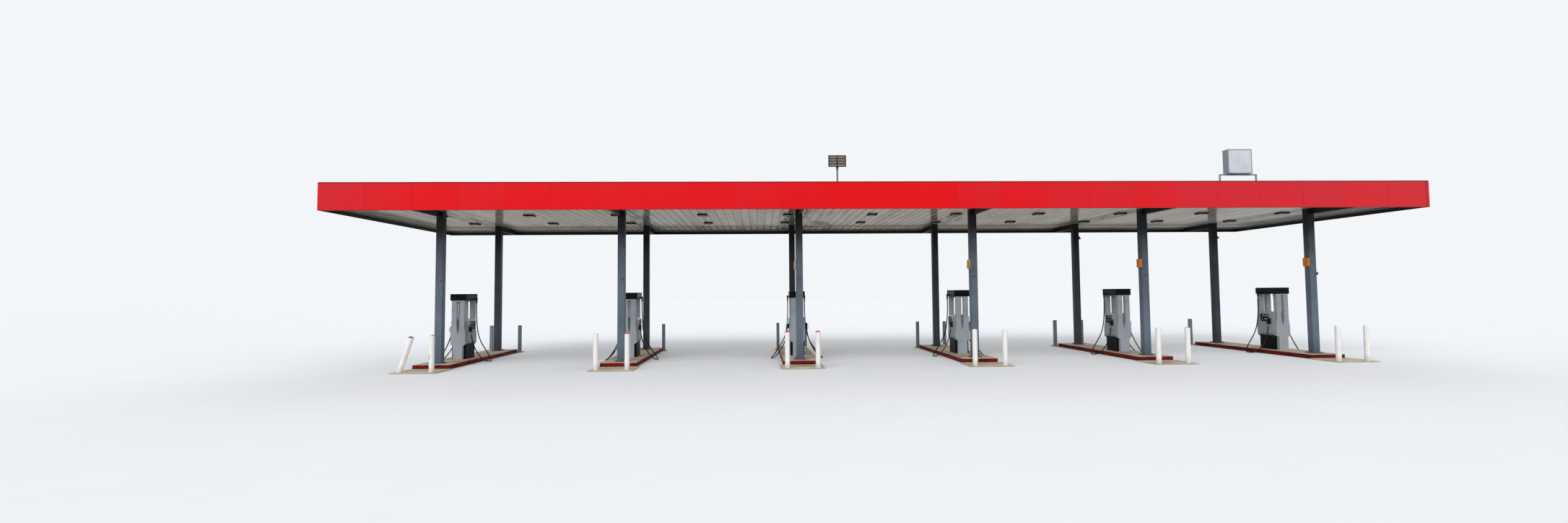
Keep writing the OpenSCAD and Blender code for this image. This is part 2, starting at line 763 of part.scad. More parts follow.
// Alarm button on the face of each front column, and the spotlights of the last back columns
module column_fittings() {
    color("gainsboro") for (k = [1 : pairs])
        translate([line_x(k) + alarm_at[k - 1], -row_y - col_w / 2, alarm_z]) rotate([90, 0, 0]) {
            cylinder(d = alarm_d, h = alarm_t);
            cylinder(d = alarm_d / 2, h = 2 * alarm_t);
        }
    color("black") for (k = [pairs - 1, pairs])
        translate([line_x(k) + col_w / 2, row_y, spot_z]) {
            translate([0, -bracket_w / 2, -bracket_w / 2]) cube([spot_out, bracket_w, bracket_w]);
            translate([spot_out, 0, 0]) rotate([spot_tilt, 0, 0])
                cylinder(d = spot_d, h = 2 * spot_d, center = true);
        }
}

front_fascia();
back_fascia();
left_fascia();
right_fascia();
fascia_caps();
fascia_frames();
deck_bay(1);  // deck_bay_1
deck_bay(2);  // deck_bay_2
deck_bay(3);  // deck_bay_3
deck_bay(4);  // deck_bay_4
deck_bay(5);  // deck_bay_5
deck_bay(6);  // deck_bay_6
deck_bay(7);  // deck_bay_7
gutters();
cross_beams();
purlins();
front_outriggers();
back_outriggers();
column(1, -1);  // front_column_1
column(2, -1);  // front_column_2
column(3, -1);  // front_column_3
column(4, -1);  // front_column_4
column(5, -1);  // front_column_5
column(6, -1);  // front_column_6
column(1, 1);  // back_column_1
column(2, 1);  // back_column_2
column(3, 1);  // back_column_3
column(4, 1);  // back_column_4
column(5, 1);  // back_column_5
column(6, 1);  // back_column_6
pump_islands();
island_kerbs();
island_pads();
front_bollards();
rear_posts();
dispenser_bases();
dispenser_bodies();
dispenser_panels();
dispenser_headers();
nozzles();
hose_outlets();
hose(1, -1);  // left_hose_1
hose(2, -1);  // left_hose_2
hose(3, -1);  // left_hose_3
hose(4, -1);  // left_hose_4
hose(5, -1);  // left_hose_5
hose(6, -1);  // left_hose_6
hose(1, 1);  // right_hose_1
hose(2, 1);  // right_hose_2
hose(3, 1);  // right_hose_3
hose(4, 1);  // right_hose_4
hose(5, 1);  // right_hose_5
hose(6, 1);  // right_hose_6
soffit_lights();
floodlight();
sign_cabinet();
sign_frame();
flag_boxes();
column_fittings();
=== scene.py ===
"""Looks of a truck-lane fuelling canopy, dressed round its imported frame.

The frame holds every structural piece at its real size. This script gives each of them a
finish, puts copies with softened edges in the place of fifteen, and lays the twelve fuel
hoses. It adds what is finer: the dispensers' windows and keys, lenses, reflectors, sign
faces, screws and small plates. All lengths are in metres, +X along the canopy, +Y to the
back and +Z up.
"""

import itertools
import json
import logging
import math
from collections.abc import Callable, Iterator
from dataclasses import dataclass
from enum import Enum

import bmesh
import bpy
import numpy as np
from mathutils import Matrix, Vector


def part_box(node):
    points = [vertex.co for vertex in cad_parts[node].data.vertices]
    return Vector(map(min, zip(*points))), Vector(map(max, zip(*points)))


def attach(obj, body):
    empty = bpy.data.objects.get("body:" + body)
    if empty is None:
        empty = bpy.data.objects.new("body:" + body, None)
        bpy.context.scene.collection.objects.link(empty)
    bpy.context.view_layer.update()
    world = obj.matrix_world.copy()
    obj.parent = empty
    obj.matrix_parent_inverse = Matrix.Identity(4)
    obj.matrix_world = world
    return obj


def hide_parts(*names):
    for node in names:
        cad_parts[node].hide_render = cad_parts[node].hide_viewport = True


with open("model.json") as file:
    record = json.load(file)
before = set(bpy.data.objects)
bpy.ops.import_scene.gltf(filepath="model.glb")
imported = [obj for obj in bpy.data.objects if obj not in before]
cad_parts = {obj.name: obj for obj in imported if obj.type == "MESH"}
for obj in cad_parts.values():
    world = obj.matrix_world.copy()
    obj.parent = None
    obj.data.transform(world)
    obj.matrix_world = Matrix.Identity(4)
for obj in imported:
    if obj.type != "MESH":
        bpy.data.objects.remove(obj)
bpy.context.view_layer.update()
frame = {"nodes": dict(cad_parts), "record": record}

LOG = logging.getLogger("canopy")
# The column pairs: how many, how far apart, and where the first stands.
PAIRS = 6
PITCH = 6.4
FIRST_LINE = -15.8
LENGTH = 37.6
# Edges steeper than SHARP stay sharp. In a frame node's copy, faces within FLAT of each other
# are joined. Points closer than MERGE, or CAD_MERGE in such a copy, are one.
SHARP = math.radians(40)
FLAT = math.radians(1)
MERGE = 1e-6
CAD_MERGE = 1e-5
# The record slot of every node, and the nodes whose finish has a name of its own.
SLOTS = {part["node"]: part["material_slot"] for part in frame["record"]["subparts"]}
# The rear posts' own finish is a lighter copy of the column paint: painted sunlight.
OWN_FINISHES = {"deck_bay_1": "deck_white_left", "deck_bay_7": "deck_white_right",
                "rear_posts": "post_grey_painted_sunlight"}
Number = float | int
Palette = dict[str, bpy.types.Material]


class Side(Enum):
    """The two lane sides of a pump island."""

    LEFT = -1
    RIGHT = 1


def operation(name: str) -> "Callable[..., Wire]":
    """Makes a method of Wire that adds one Math node.

    Args:
        name: Blender's name of the operation.

    Returns:
        The method, which takes the operation's other inputs.
    """

    def apply(self: "Wire", *others: "Wire | Number") -> "Wire":
        """Adds the node, fed by the wire and the others."""
        return self.math(name, *others)

    return apply


class Wire:
    """A shader socket, on which Python's operators add Math nodes."""

    def __init__(self, board: "Board", value: bpy.types.NodeSocket) -> None:
        """Wraps value, which belongs to the node tree of board."""
        self.board = board
        self.value = value

    def math(self, name: str, *others: "Wire | Number") -> "Wire":
        """Returns the operation called name on this wire and the others."""
        return self.board.node("ShaderNodeMath", {"operation": name},
                               dict(enumerate([self, *others])))

    __add__ = __radd__ = operation("ADD")
    __mul__ = __rmul__ = operation("MULTIPLY")
    __sub__ = operation("SUBTRACT")
    __truediv__ = operation("DIVIDE")
    __abs__ = operation("ABSOLUTE")
    floor = operation("FLOOR")
    part = operation("FRACT")
    least = operation("MINIMUM")
    most = operation("MAXIMUM")

    def __rsub__(self, other: Number) -> "Wire":
        """Difference, with this wire taken away from other."""
        return self.math("MULTIPLY_ADD", -1.0, other)

    def unit(self) -> "Wire":
        """Value held between 0 and 1."""
        return self.most(0.0).least(1.0)

    def near(self, centre: Number, reach: Number, soft: Number) -> "Wire":
        """1 within reach less soft of centre, 0 beyond reach, and eased between."""
        return abs(self - centre).step(reach, reach - soft)

    def past(self, edge: Number, soft: Number = 0.001) -> "Wire":
        """0 up to edge, then eased to 1 over soft."""
        return self.step(edge, edge + soft)

    def within(self, low: Number, high: Number, soft: Number) -> "Wire":
        """0 up to low and from high on, and eased to 1 between them over soft."""
        return self.step(low, low + soft) * self.step(high, high - soft)

    def step(self, low: Number, high: Number) -> "Wire":
        """Smooth rise from 0 at low to 1 at high, or a fall where low is the larger.

        Args:
            low: The value at which the result is 0.
            high: The value at which the result is 1.

        Returns:
            The eased share, from 0 to 1.
        """
        settings = {"interpolation_type": "SMOOTHSTEP", "clamp": True}
        return self.board.node("ShaderNodeMapRange", settings,
                               {"Value": self, "From Min": low, "From Max": high})


class Board:
    """The node tree of one material, with a Principled shader at its end."""

    def __init__(self, name: str) -> None:
        """Makes an empty material with its shader and output.

        Args:
            name: The material's name.
        """
        self.material = bpy.data.materials.new(name)
        self.material.use_nodes = True
        self.tree = self.material.node_tree
        self.tree.nodes.clear()
        self.shader = self.tree.nodes.new("ShaderNodeBsdfPrincipled")
        output = self.tree.nodes.new("ShaderNodeOutputMaterial")
        self.tree.links.new(self.shader.outputs[0], output.inputs["Surface"])
        self.place = self.node("ShaderNodeTexCoord", out="Object")
        split = self.node("ShaderNodeSeparateXYZ", inputs={0: self.place}).value.node
        self.x, self.y, self.z = (Wire(self, split.outputs[i]) for i in range(3))
        self.colour: Wire | tuple = (0.0, 0.0, 0.0)

    def node(self, kind: str, settings: dict | None = None, inputs: dict | None = None,
             out: int | str = 0) -> Wire:
        """Adds one node.

        Args:
            kind: Blender's name of the node type.
            settings: Properties of the node, set before its sockets.
            inputs: Socket name or index to a Wire, a number or a colour.
            out: Name or index of the output to return.

        Returns:
            The chosen output.
        """
        node = self.tree.nodes.new(kind)
        for name, value in (settings or {}).items():
            setattr(node, name, value)
        for key, value in (inputs or {}).items():
            socket = node.inputs[key]
            if isinstance(value, Wire):
                value = value.value
            if isinstance(value, bpy.types.NodeSocket):
                self.tree.links.new(value, socket)
            else:
                socket.default_value = value
        return Wire(self, node.outputs[out])

    def vector(self, x: Wire | Number, y: Wire | Number, z: Wire | Number) -> Wire:
        """Joins three values into a vector."""
        return self.node("ShaderNodeCombineXYZ", inputs={0: x, 1: y, 2: z})

    def noise(self, scale: float, detail: float = 4.0, rough: float = 0.55,
              stretch: tuple[float, float, float] = (1.0, 1.0, 1.0)) -> Wire:
        """Fractal noise from 0 to 1 over the object's own coordinates.

        Args:
            scale: Features for each metre.
            detail: Number of finer octaves.
            rough: Strength of each finer octave.
            stretch: Factor on the frequency along each axis.

        Returns:
            The noise's value.
        """
        where = self.vector(self.x * stretch[0], self.y * stretch[1], self.z * stretch[2])
        return self.node("ShaderNodeTexNoise", {"noise_dimensions": "3D"},
                         {"Vector": where, "Scale": scale, "Detail": detail, "Roughness": rough})

    def cells(self, *places: Wire | Number) -> Wire:
        """Random value for each cell of space.

        Args:
            places: Up to three whole numbers, which tell the cell.

        Returns:
            The value, from 0 to 1.
        """
        x, y, z = (*places, 0.0, 0.0)[:3]
        return self.node("ShaderNodeTexWhiteNoise", {"noise_dimensions": "3D"},
                         {"Vector": self.vector(x, y, z)})

    def mix(self, share: Wire | Number, first: Wire | tuple, second: Wire | tuple) -> Wire:
        """Blends two colours.

        Args:
            share: How much of the second there is, from 0 to 1.
            first: The first colour.
            second: The second colour.

        Returns:
            The blended colour.
        """
        ends = [c if isinstance(c, Wire) else (*c, 1.0) for c in (first, second)]
        return self.node("ShaderNodeMix", {"data_type": "RGBA"},
                         {0: share, 6: ends[0], 7: ends[1]}, out=2)

    def lay(self, share: Wire | Number, coat: Wire | tuple) -> None:
        """Lays a coat of another colour over the board's colour, as thick as share."""
        self.colour = self.mix(share, self.colour, coat)

    def tint(self, colour: Wire | tuple, factor: Wire) -> Wire:
        """Multiplies a colour by a number."""
        grey = self.vector(factor, factor, factor)
        return self.node("ShaderNodeVectorMath", {"operation": "MULTIPLY"}, {0: colour, 1: grey})

    def bump(self, height: Wire, distance: float, strength: float = 1.0) -> Wire:
        """Normal of a surface raised by height times distance, in metres."""
        return self.node("ShaderNodeBump", None,
                         {"Height": height, "Distance": distance, "Strength": strength})

    def finish(self, **sockets: Wire | Number | tuple) -> bpy.types.Material:
        """Fills the shader's sockets, the base colour with the board's colour.

        Args:
            sockets: Socket name, with _ for a space, to the wire or number that feeds it.

        Returns:
            The finished material.
        """
        for name, value in {"Base Color": self.colour, **sockets}.items():
            socket = self.shader.inputs[name.replace("_", " ")]
            if isinstance(value, Wire):
                self.tree.links.new(value.value, socket)
            else:
                socket.default_value = value
        return self.material


def srgb(red: int, green: int, blue: int) -> tuple[float, float, float]:
    """Linear colour of an sRGB colour given from 0 to 255."""
    share = [v / 255 for v in (red, green, blue)]
    return tuple(v / 12.92 if v <= 0.04045 else ((v + 0.055) / 1.055) ** 2.4 for v in share)


def points_of(x: np.ndarray, y: np.ndarray, z: np.ndarray | float) -> np.ndarray:
    """Points whose coordinates are the three arrays, stretched to one shape."""
    return np.stack(np.broadcast_arrays(x, y, z), -1)


class Heap:
    """Closed surfaces gathered into one piece, each worked out as whole arrays of points."""

    crown_shares = np.array([1.0, 1.0, 0.985, 0.85, 0.6, 0.3, 0.05])
    crown_sides = 32

    def __init__(self, name: str, finish: str, slot: str | None = None) -> None:
        """Starts empty.

        Args:
            name: The piece's name.
            finish: Its finish, by name.
            slot: The record slot that the finish belongs to, where it has another name. It is kept
                but not used.
        """
        self.name = name
        self.finish = finish
        self.slot = slot or finish
        self.points: list[np.ndarray] = []
        self.faces: list[np.ndarray] = []
        self.count = 0

    def sheet(self, grid: np.ndarray) -> None:
        """Adds a closed sleeve whose rings are the rows of grid.

        The faces join point (i, j) to (i + 1, j) and (i, j + 1), and the last column joins
        the first. Caps are single faces over the first and the last ring.

        Args:
            grid: Points by ring, place in the ring, and x, y, z.
        """
        rings, around = grid.shape[:2]
        index = self.count + np.arange(rings * around).reshape(rings, around)
        right = np.roll(index, -1, axis=1)
        walls = np.stack([index[:-1], right[:-1], right[1:], index[1:]], -1).reshape(-1, 4)
        self.faces += [walls, index[:1, ::-1], index[-1:]]
        self.points.append(grid.reshape(-1, 3))
        self.count += rings * around

    def sweep(self, path: np.ndarray, radius: float, sides: int) -> None:
        """Carries a circle along a path.

        Ring i is path[i] + radius * (cos(turn) * u - sin(turn) * w), where u and w stand
        square to the path's direction, and w lies as near to the first ring's w as it can.

        Args:
            path: Points of the centreline.
            radius: The circle's radius.
            sides: Points round the circle.
        """
        ahead = np.gradient(path, axis=0)
        ahead /= np.linalg.norm(ahead, axis=1, keepdims=True)
        level = abs(ahead[0][2]) < 0.9
        side = [np.cross(ahead[0], [0.31, 0.17, 0.93] if level else [1.0, 0.1, 0.0])]
        for along in ahead[1:]:
            side.append(side[-1] - along * (side[-1] @ along))
        w = np.array(side)
        w -= ahead * np.sum(w * ahead, axis=1, keepdims=True)
        w /= np.linalg.norm(w, axis=1, keepdims=True)
        u = np.cross(w, ahead)
        turn = np.linspace(0, 2 * math.pi, sides, endpoint=False)[None, :, None]
        ring = np.cos(turn) * u[:, None] - np.sin(turn) * w[:, None]
        self.sheet(path[:, None] + radius * ring)

    def block(self, low: np.ndarray, high: np.ndarray, rounding: float, steps: int = 2) -> None:
        """Adds a box with round edges: each corner is an eighth of a sphere.

        Point (a, b) is corner + rounding * (cos a cos b, cos a sin b, sin a), with the corner
        changing at each quarter of b and at a = 0.

        Args:
            low: Lowest corner.
            high: Highest corner.
            rounding: Radius of the edges.
            steps: Facets across a quarter circle.
        """
        middle = (low + high) / 2
        half = (high - low) / 2 - rounding
        rise = np.linspace(-math.pi / 2, 0, steps + 1)
        a = np.concatenate([rise, rise + math.pi / 2])[:, None]
        up = np.repeat([-1.0, 1.0], steps + 1)[:, None]
        quarter = np.linspace(0, math.pi / 2, steps + 1)
        b = (quarter[None] + np.arange(4)[:, None] * math.pi / 2).ravel()
        sx = np.repeat([1.0, -1.0, -1.0, 1.0], steps + 1)
        sy = np.repeat([1.0, 1.0, -1.0, -1.0], steps + 1)
        self.sheet(middle + points_of(half[0] * sx + rounding * np.cos(a) * np.cos(b),
                                      half[1] * sy + rounding * np.cos(a) * np.sin(b),
                                      half[2] * up + rounding * np.sin(a)))

    def crown(self, centre: np.ndarray, u: np.ndarray, v: np.ndarray, thick: float,
              rise: float) -> None:
        """Adds a panel with round corners whose face swells towards its middle.

        The outline is centre + u * c + v * s, where c and s are the cosine and the sine of the
        turn, each raised to the power of 1/4 with its sign kept. Ring by ring it shrinks to a
        share of its size, and stands thick + rise * (1 - share^3) out of its back.

        Args:
            centre: Middle of the back.
            u: Half of the panel's width, as a vector.
            v: Half of its height, as a vector. The face looks along u x v.
            thick: Thickness at the edge.
            rise: How much more it has in the middle.
        """
        turn = np.linspace(0, 2 * math.pi, self.crown_sides, endpoint=False)
        turn += math.pi / self.crown_sides
        c, s = (np.sign(w) * np.abs(w) ** 0.25 for w in (np.cos(turn), np.sin(turn)))
        out = np.cross(u, v) / np.linalg.norm(np.cross(u, v))
        share = self.crown_shares
        height = thick + rise * (1 - share ** 3)
        height[0] = 0.0
        outline = c[:, None] * u + s[:, None] * v
        self.sheet(centre + share[:, None, None] * outline[None] + height[:, None, None] * out)

    def lathe(self, profile: list[tuple[float, float]], foot: tuple, axis: tuple = (0, 0, 1),
              sides: int = 20) -> None:
        """Turns a profile about an axis.

        Ring i has the profile's radius and lies at its height along the axis.

        Args:
            profile: (radius, height) pairs from the foot up.
            foot: Where the axis starts.
            axis: Its direction.
            sides: Points round the circle.
        """
        turn = Vector((0, 0, 1)).rotation_difference(Vector(axis)).to_matrix()
        radius, height = np.array(profile, float).T
        spin = np.linspace(0, 2 * math.pi, sides, endpoint=False)
        grid = points_of(radius[:, None] * np.cos(spin), radius[:, None] * np.sin(spin),
                         height[:, None])
        self.sheet(grid @ np.array(turn).T + np.array(foot))

    def build(self, palette: Palette) -> bpy.types.Object:
        """Makes the gathered surfaces one piece of the canopy.

        Args:
            palette: The finishes.

        Returns:
            The new object.
        """
        mesh = bpy.data.meshes.new(self.name)
        points = np.concatenate(self.points)
        corners = np.concatenate([f.ravel() for f in self.faces])
        counts = np.concatenate([np.full(len(f), f.shape[1]) for f in self.faces])
        mesh.vertices.add(len(points))
        mesh.vertices.foreach_set("co", points.ravel())
        mesh.loops.add(len(corners))
        mesh.loops.foreach_set("vertex_index", corners)
        mesh.polygons.add(len(counts))
        mesh.polygons.foreach_set("loop_start", np.cumsum(counts) - counts)
        mesh.update(calc_edges=True)
        return dress(mesh, palette[self.finish])


def put(name: str, data: bpy.types.ID) -> bpy.types.Object:
    """Adds an object to the scene.

    Args:
        name: The object's name.
        data: The mesh, camera or lamp that it holds.

    Returns:
        The new object.
    """
    holder = bpy.data.objects.new(name, data)
    bpy.context.scene.collection.objects.link(holder)
    return holder


def dress(mesh: bpy.types.Mesh, material: bpy.types.Material) -> bpy.types.Object:
    """Cleans a mesh, shades it and hangs it on the frame.

    Doubled points are merged, faces turned outwards, and edges sharper than 40 degrees kept.

    Args:
        mesh: The mesh of the piece, which gives it its name.
        material: Its finish.

    Returns:
        The new object.
    """
    work = bmesh.new()
    work.from_mesh(mesh)
    bmesh.ops.remove_doubles(work, verts=work.verts, dist=MERGE)
    bmesh.ops.recalc_face_normals(work, faces=work.faces)
    work.to_mesh(mesh)
    work.free()
    mesh.shade_smooth()
    mesh.set_sharp_from_angle(angle=SHARP)
    mesh.materials.append(material)
    piece = put(mesh.name, mesh)
    piece.modifiers.new("normals", "WEIGHTED_NORMAL").keep_sharp = True
    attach(piece, "root")
    return piece


def eased(node: str, width: float, palette: Palette) -> bpy.types.Object:
    """Stands in for a frame node with a copy whose edges are rounded off.

    Args:
        node: The frame node's name.
        width: Width of the rounding.
        palette: The finishes.

    Returns:
        The copy.
    """
    mesh = bpy.data.meshes.new(f"{node}_eased")
    work = bmesh.new()
    work.from_mesh(frame["nodes"][node].data)
    bmesh.ops.remove_doubles(work, verts=work.verts, dist=CAD_MERGE)
    bmesh.ops.dissolve_limit(work, angle_limit=FLAT, verts=work.verts, edges=work.edges)
    work.to_mesh(mesh)
    work.free()
    piece = dress(mesh, palette[finish_of(node)])
    bevel = piece.modifiers.new("edges", "BEVEL")
    bevel.width = width
    bevel.segments = 2
    bevel.limit_method = "ANGLE"
    bevel.angle_limit = SHARP
    bevel.harden_normals = False
    piece.modifiers.move(1, 0)
    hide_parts(node)
    return piece


def finish_of(node: str) -> str:
    """Name of a frame node's finish: one of its own, or its record slot's."""
    return OWN_FINISHES.get(node, SLOTS[node])


@dataclass(frozen=True)
class FasciaPaint:
    """Coated fascia panels: each a shade of its own, slightly wavy, streaked under the cap.

    Only the outer skin is red. The back of the panels is pale from the soffit's edge angle up,
    and near black below it: painted shade. Corner trims are dull.
    """

    name: str = "fascia_red"
    base: tuple = srgb(230, 16, 24)
    faded: tuple = srgb(208, 42, 54)
    grime: tuple = srgb(112, 20, 26)
    inside: tuple = srgb(138, 136, 130)
    shade: tuple = srgb(20, 20, 21)
    panel: float = 1.504
    top: float = 6.24
    foot: float = 5.34
    soffit: float = 5.475
    half: tuple = (18.8, 4.65)
    skin: float = 0.008
    side_start: float = 7.7
    corner: float = 0.07
    trims: tuple = (0.04, 0.13)
    specular: float = 0.1

    def make(self) -> bpy.types.Material:
        """Mixes the panels' reds, the streaks and grime, and the back with its painted shade.

        Returns:
            The fascia's material.
        """
        b = Board(self.name)
        end_x, end_y = self.half
        side = abs(b.x).past(end_x - self.corner, 0.01)
        along = (b.x + 0.5 * self.panel) * (1 - side) + (b.y + self.side_start) * side
        tone = b.cells((along / self.panel).floor(), 3.0, side)
        cloud = b.noise(0.35, 3.0)
        share = b.x / LENGTH + 0.5
        fade = (share.step(0.45, 1.1) * 0.95 + share.step(0.14, 0.0) * 0.45 + (tone - 0.5) * 0.4
                + (cloud - 0.5) * 0.4 + b.z.step(self.foot, self.top) * 0.16)
        b.colour = b.mix(fade.unit(), self.base, self.faded)
        streak = b.noise(2.2, 5.0, 0.6, (1.0, 1.0, 0.08)).step(0.56, 0.8)
        under_cap = b.z.step(self.top - 0.4, self.top)
        along_foot = b.z.step(self.foot + 0.045, self.foot)
        at_top = b.z.step(self.top - 0.03, self.top - 0.015)
        dirt = (streak * (under_cap * 0.18 + 0.04) + along_foot * 0.2 + at_top * 0.6).least(1.0)
        b.lay(dirt, self.grime)
        speck = b.noise(38.0, 3.0).step(0.66, 0.78)
        b.lay(speck * 0.08, self.grime)
        left, right = self.trims
        trim = b.x.past(end_x - right, 0.01) + b.x.step(left - end_x, left - 0.01 - end_x)
        b.lay(trim.least(1.0) * (1 - side) * 0.42, self.grime)
        # The panels' back: pale above the soffit's edge, painted shade below it.
        back_with_painted_shade = b.mix(b.z.past(self.soffit, 0.004), self.shade, self.inside)
        outer = abs(b.x).past(end_x - self.skin) + abs(b.y).past(end_y - self.skin)
        b.colour = b.mix(outer.least(1.0), back_with_painted_shade, b.colour)
        wave = b.noise(0.9, 2.0, 0.4, (1.0, 1.0, 1.6))
        rough = 0.34 + 0.14 * cloud + 0.2 * dirt
        return b.finish(Roughness=rough, Normal=b.bump(wave, 0.012),
                        Specular_IOR_Level=self.specular)


@dataclass(frozen=True)
class DeckPaint:
    """Coated deck pans with a tone for each pan and a dark line at each joint below.

    They are glossy from below, so that the columns' tops show in them, but dull at the back
    edge. Water has left long marks along the pans. Soot gathers round the column lines, and one
    patch further back is darker still. Three stretches are cleaner. The right-hand bays are cooler
    in colour. The upper side is bare sheet with the rings of dried puddles.
    """

    name: str
    step: float
    start: float
    base: tuple = srgb(220, 214, 202)
    warm: tuple = srgb(243, 233, 214)
    cool: tuple = srgb(238, 242, 245)
    stain: tuple = srgb(124, 113, 98)
    dark: tuple = srgb(42, 40, 37)
    fresh: tuple = srgb(214, 218, 226)
    joint: float = 0.028
    cleaner: tuple = ((-9.1, -7.9), (-4.3, -3.3), (-1.75, -1.2))
    dark_patch: tuple = (-2.65, -0.9, 1.0)
    bare: tuple = srgb(172, 175, 176)
    puddle: tuple = srgb(112, 108, 100)
    bare_from: float = 5.5455
    warm_over: tuple = (0.25, 0.5)
    cool_over: tuple = (0.78, 0.93)
    tone: tuple = (0.64, 0.22)
    paler_back: tuple = (1.4, 3.9)
    paler_ends: tuple = (9.0, 16.5)
    paler_by: float = 0.2
    dull_back: tuple = (2.9, 4.1)
    smooth: float = 0.06
    specular: float = 0.055

    def make(self) -> bpy.types.Material:
        """Mixes the pans' tones, stains, soot and joints, and the bare upper side.

        Returns:
            The material of one group of bays.
        """
        b = Board(self.name)
        place = (b.x - self.start) / self.step
        pan = b.cells(place.floor(), 7.0)
        wide = b.noise(0.22, 4.0, 0.6, (1.0, 0.6, 1.0))
        place_x = b.x / LENGTH + 0.5 + (wide - 0.5) * 0.3
        b.colour = b.mix(place_x.step(*self.warm_over), self.base, self.warm)
        b.lay(place_x.step(*self.cool_over), self.cool)
        paler = (b.y.step(*self.paler_back) + abs(b.x).step(*self.paler_ends)).least(1.0)
        least, spread = self.tone
        b.colour = b.tint(b.colour, least + spread * pan + self.paler_by * paler)
        line = ((b.x - FIRST_LINE) / PITCH + 0.5).part().near(0.5, 0.14, 0.11)
        ragged = b.x + (wide - 0.5) * 0.4
        for low, high in self.cleaner:
            b.lay(ragged.within(low, high, 0.03) * 0.6, self.fresh)
        marks = b.noise(1.3, 6.0, 0.65, (4.0, 0.14, 1.0)).step(0.47, 0.68)
        blot = b.noise(0.5, 6.0, 0.65, (1.0, 0.55, 1.0)).step(0.5, 0.66)
        b.lay((marks * 0.42 + blot * 0.42).least(1.0), self.stain)
        drip = b.noise(3.4, 6.0, 0.7, (1.6, 0.22, 1.0))
        # One patch further back, between two places along x, is darker still.
        low, high, front = self.dark_patch
        darkest_patch = (b.x.within(low, high, 0.3) * b.y.step(front - 1.0, front + 0.5)
                 * b.noise(1.4, 5.0, 0.7, (1.0, 0.5, 1.0)).step(0.4, 0.6))
        soot_and_patch = (drip.step(0.56, 0.74) * 0.7 + line * drip.step(0.34, 0.62) * 0.75
                + darkest_patch * 0.7).least(1.0)
        b.lay(soot_and_patch, self.dark)
        # Dark line at each joint, painted wider than the joint: partly the joint, partly painted
        # shade beside the pan's leg.
        gap = 0.5 - abs(place.part() - 0.5)
        joint = gap.step(self.joint / self.step, 0.4 * self.joint / self.step)
        b.lay(joint * 0.95, self.dark)
        pond = b.noise(0.8, 6.0, 0.6, (0.6, 1.0, 1.0))
        rings = pond.step(0.48, 0.56) * 0.5 + pond.step(0.6, 0.61) * 0.2
        upper = b.z.past(self.bare_from)
        b.lay(upper, b.tint(b.mix(rings, self.bare, self.puddle), 0.9 + 0.14 * pan))
        rough = (self.smooth + 0.12 * marks + 0.25 * soot_and_patch + 0.4 * upper
                 + 0.4 * b.y.step(*self.dull_back))
        ripple = b.noise(9.0, 3.0, 0.6, (1.0, 0.5, 1.0))
        return b.finish(Roughness=rough, Normal=b.bump(ripple, 0.004),
                        Specular_IOR_Level=self.specular)


@dataclass(frozen=True)
class SteelPaint:
    """Paint on structural steel, with scuffs, runs of dirt and a darker foot.

    Painted shade can darken it below a height, from a height up, and towards the back from a place
    along y.
    """

    name: str
    base: tuple
    dirt: tuple
    bare: tuple = srgb(116, 78, 58)
    gloss: float = 0.42
    worn: float = 0.3
    foot: float | None = None
    shade_below: float | None = None
    painted_shade_from: float | None = None
    shade: tuple = srgb(22, 22, 23)
    painted_shade: tuple = srgb(25, 26, 28)
    painted_shade_behind: float | None = None
    specular: float = 0.3

    def make(self) -> bpy.types.Material:
        """Mixes paint, dirt and chips, and the painted shade that is asked for.

        Returns:
            The material of one kind of steel.
        """
        b = Board(self.name)
        cloud = b.noise(1.3, 4.0, 0.6)
        b.colour = b.mix(cloud.step(0.3, 0.75) * 0.35, self.base, self.dirt)
        runs = b.noise(7.0, 5.0, 0.6, (1.0, 1.0, 0.07)).step(0.55, 0.78)
        b.lay(runs * 0.4, self.dirt)
        chips = b.noise(16.0, 6.0, 0.72).step(0.69, 0.72)
        worn = chips * self.worn
        if self.foot is not None:
            low = b.z.step(self.foot + 0.9, self.foot)
            ragged = (low + b.noise(6.0, 4.0) * 0.6 - 0.45).unit()
            b.lay(ragged * 0.55, self.dirt)
            worn = (worn + low * b.noise(22.0, 5.0, 0.7).step(0.6, 0.66) * 0.6).least(1.0)
        b.lay(worn, self.bare)
        # Painted shade below a height.
        if self.shade_below is not None:
            b.lay(b.z.step(self.shade_below + 0.002, self.shade_below), self.shade)
        # Painted shade: darker from a height up, under the deck.
        if self.painted_shade_from is not None:
            rise = (b.z + (cloud - 0.5) * 0.6).past(self.painted_shade_from, 1.2)
            shade_gradient = b.z.step(self.painted_shade_from - 3.0, self.painted_shade_from)
            b.lay((rise * 0.7 + shade_gradient * 0.2).least(0.88), self.painted_shade)
        # Painted shade on the back row.
        if self.painted_shade_behind is not None:
            b.lay(b.y.past(self.painted_shade_behind, 0.5) * 0.55, self.painted_shade)
        rough = self.gloss + 0.16 * cloud + 0.3 * worn
        skin = b.noise(55.0, 3.0)
        return b.finish(Roughness=rough, Normal=b.bump(skin, 0.0012, 0.6),
                        Specular_IOR_Level=self.specular)


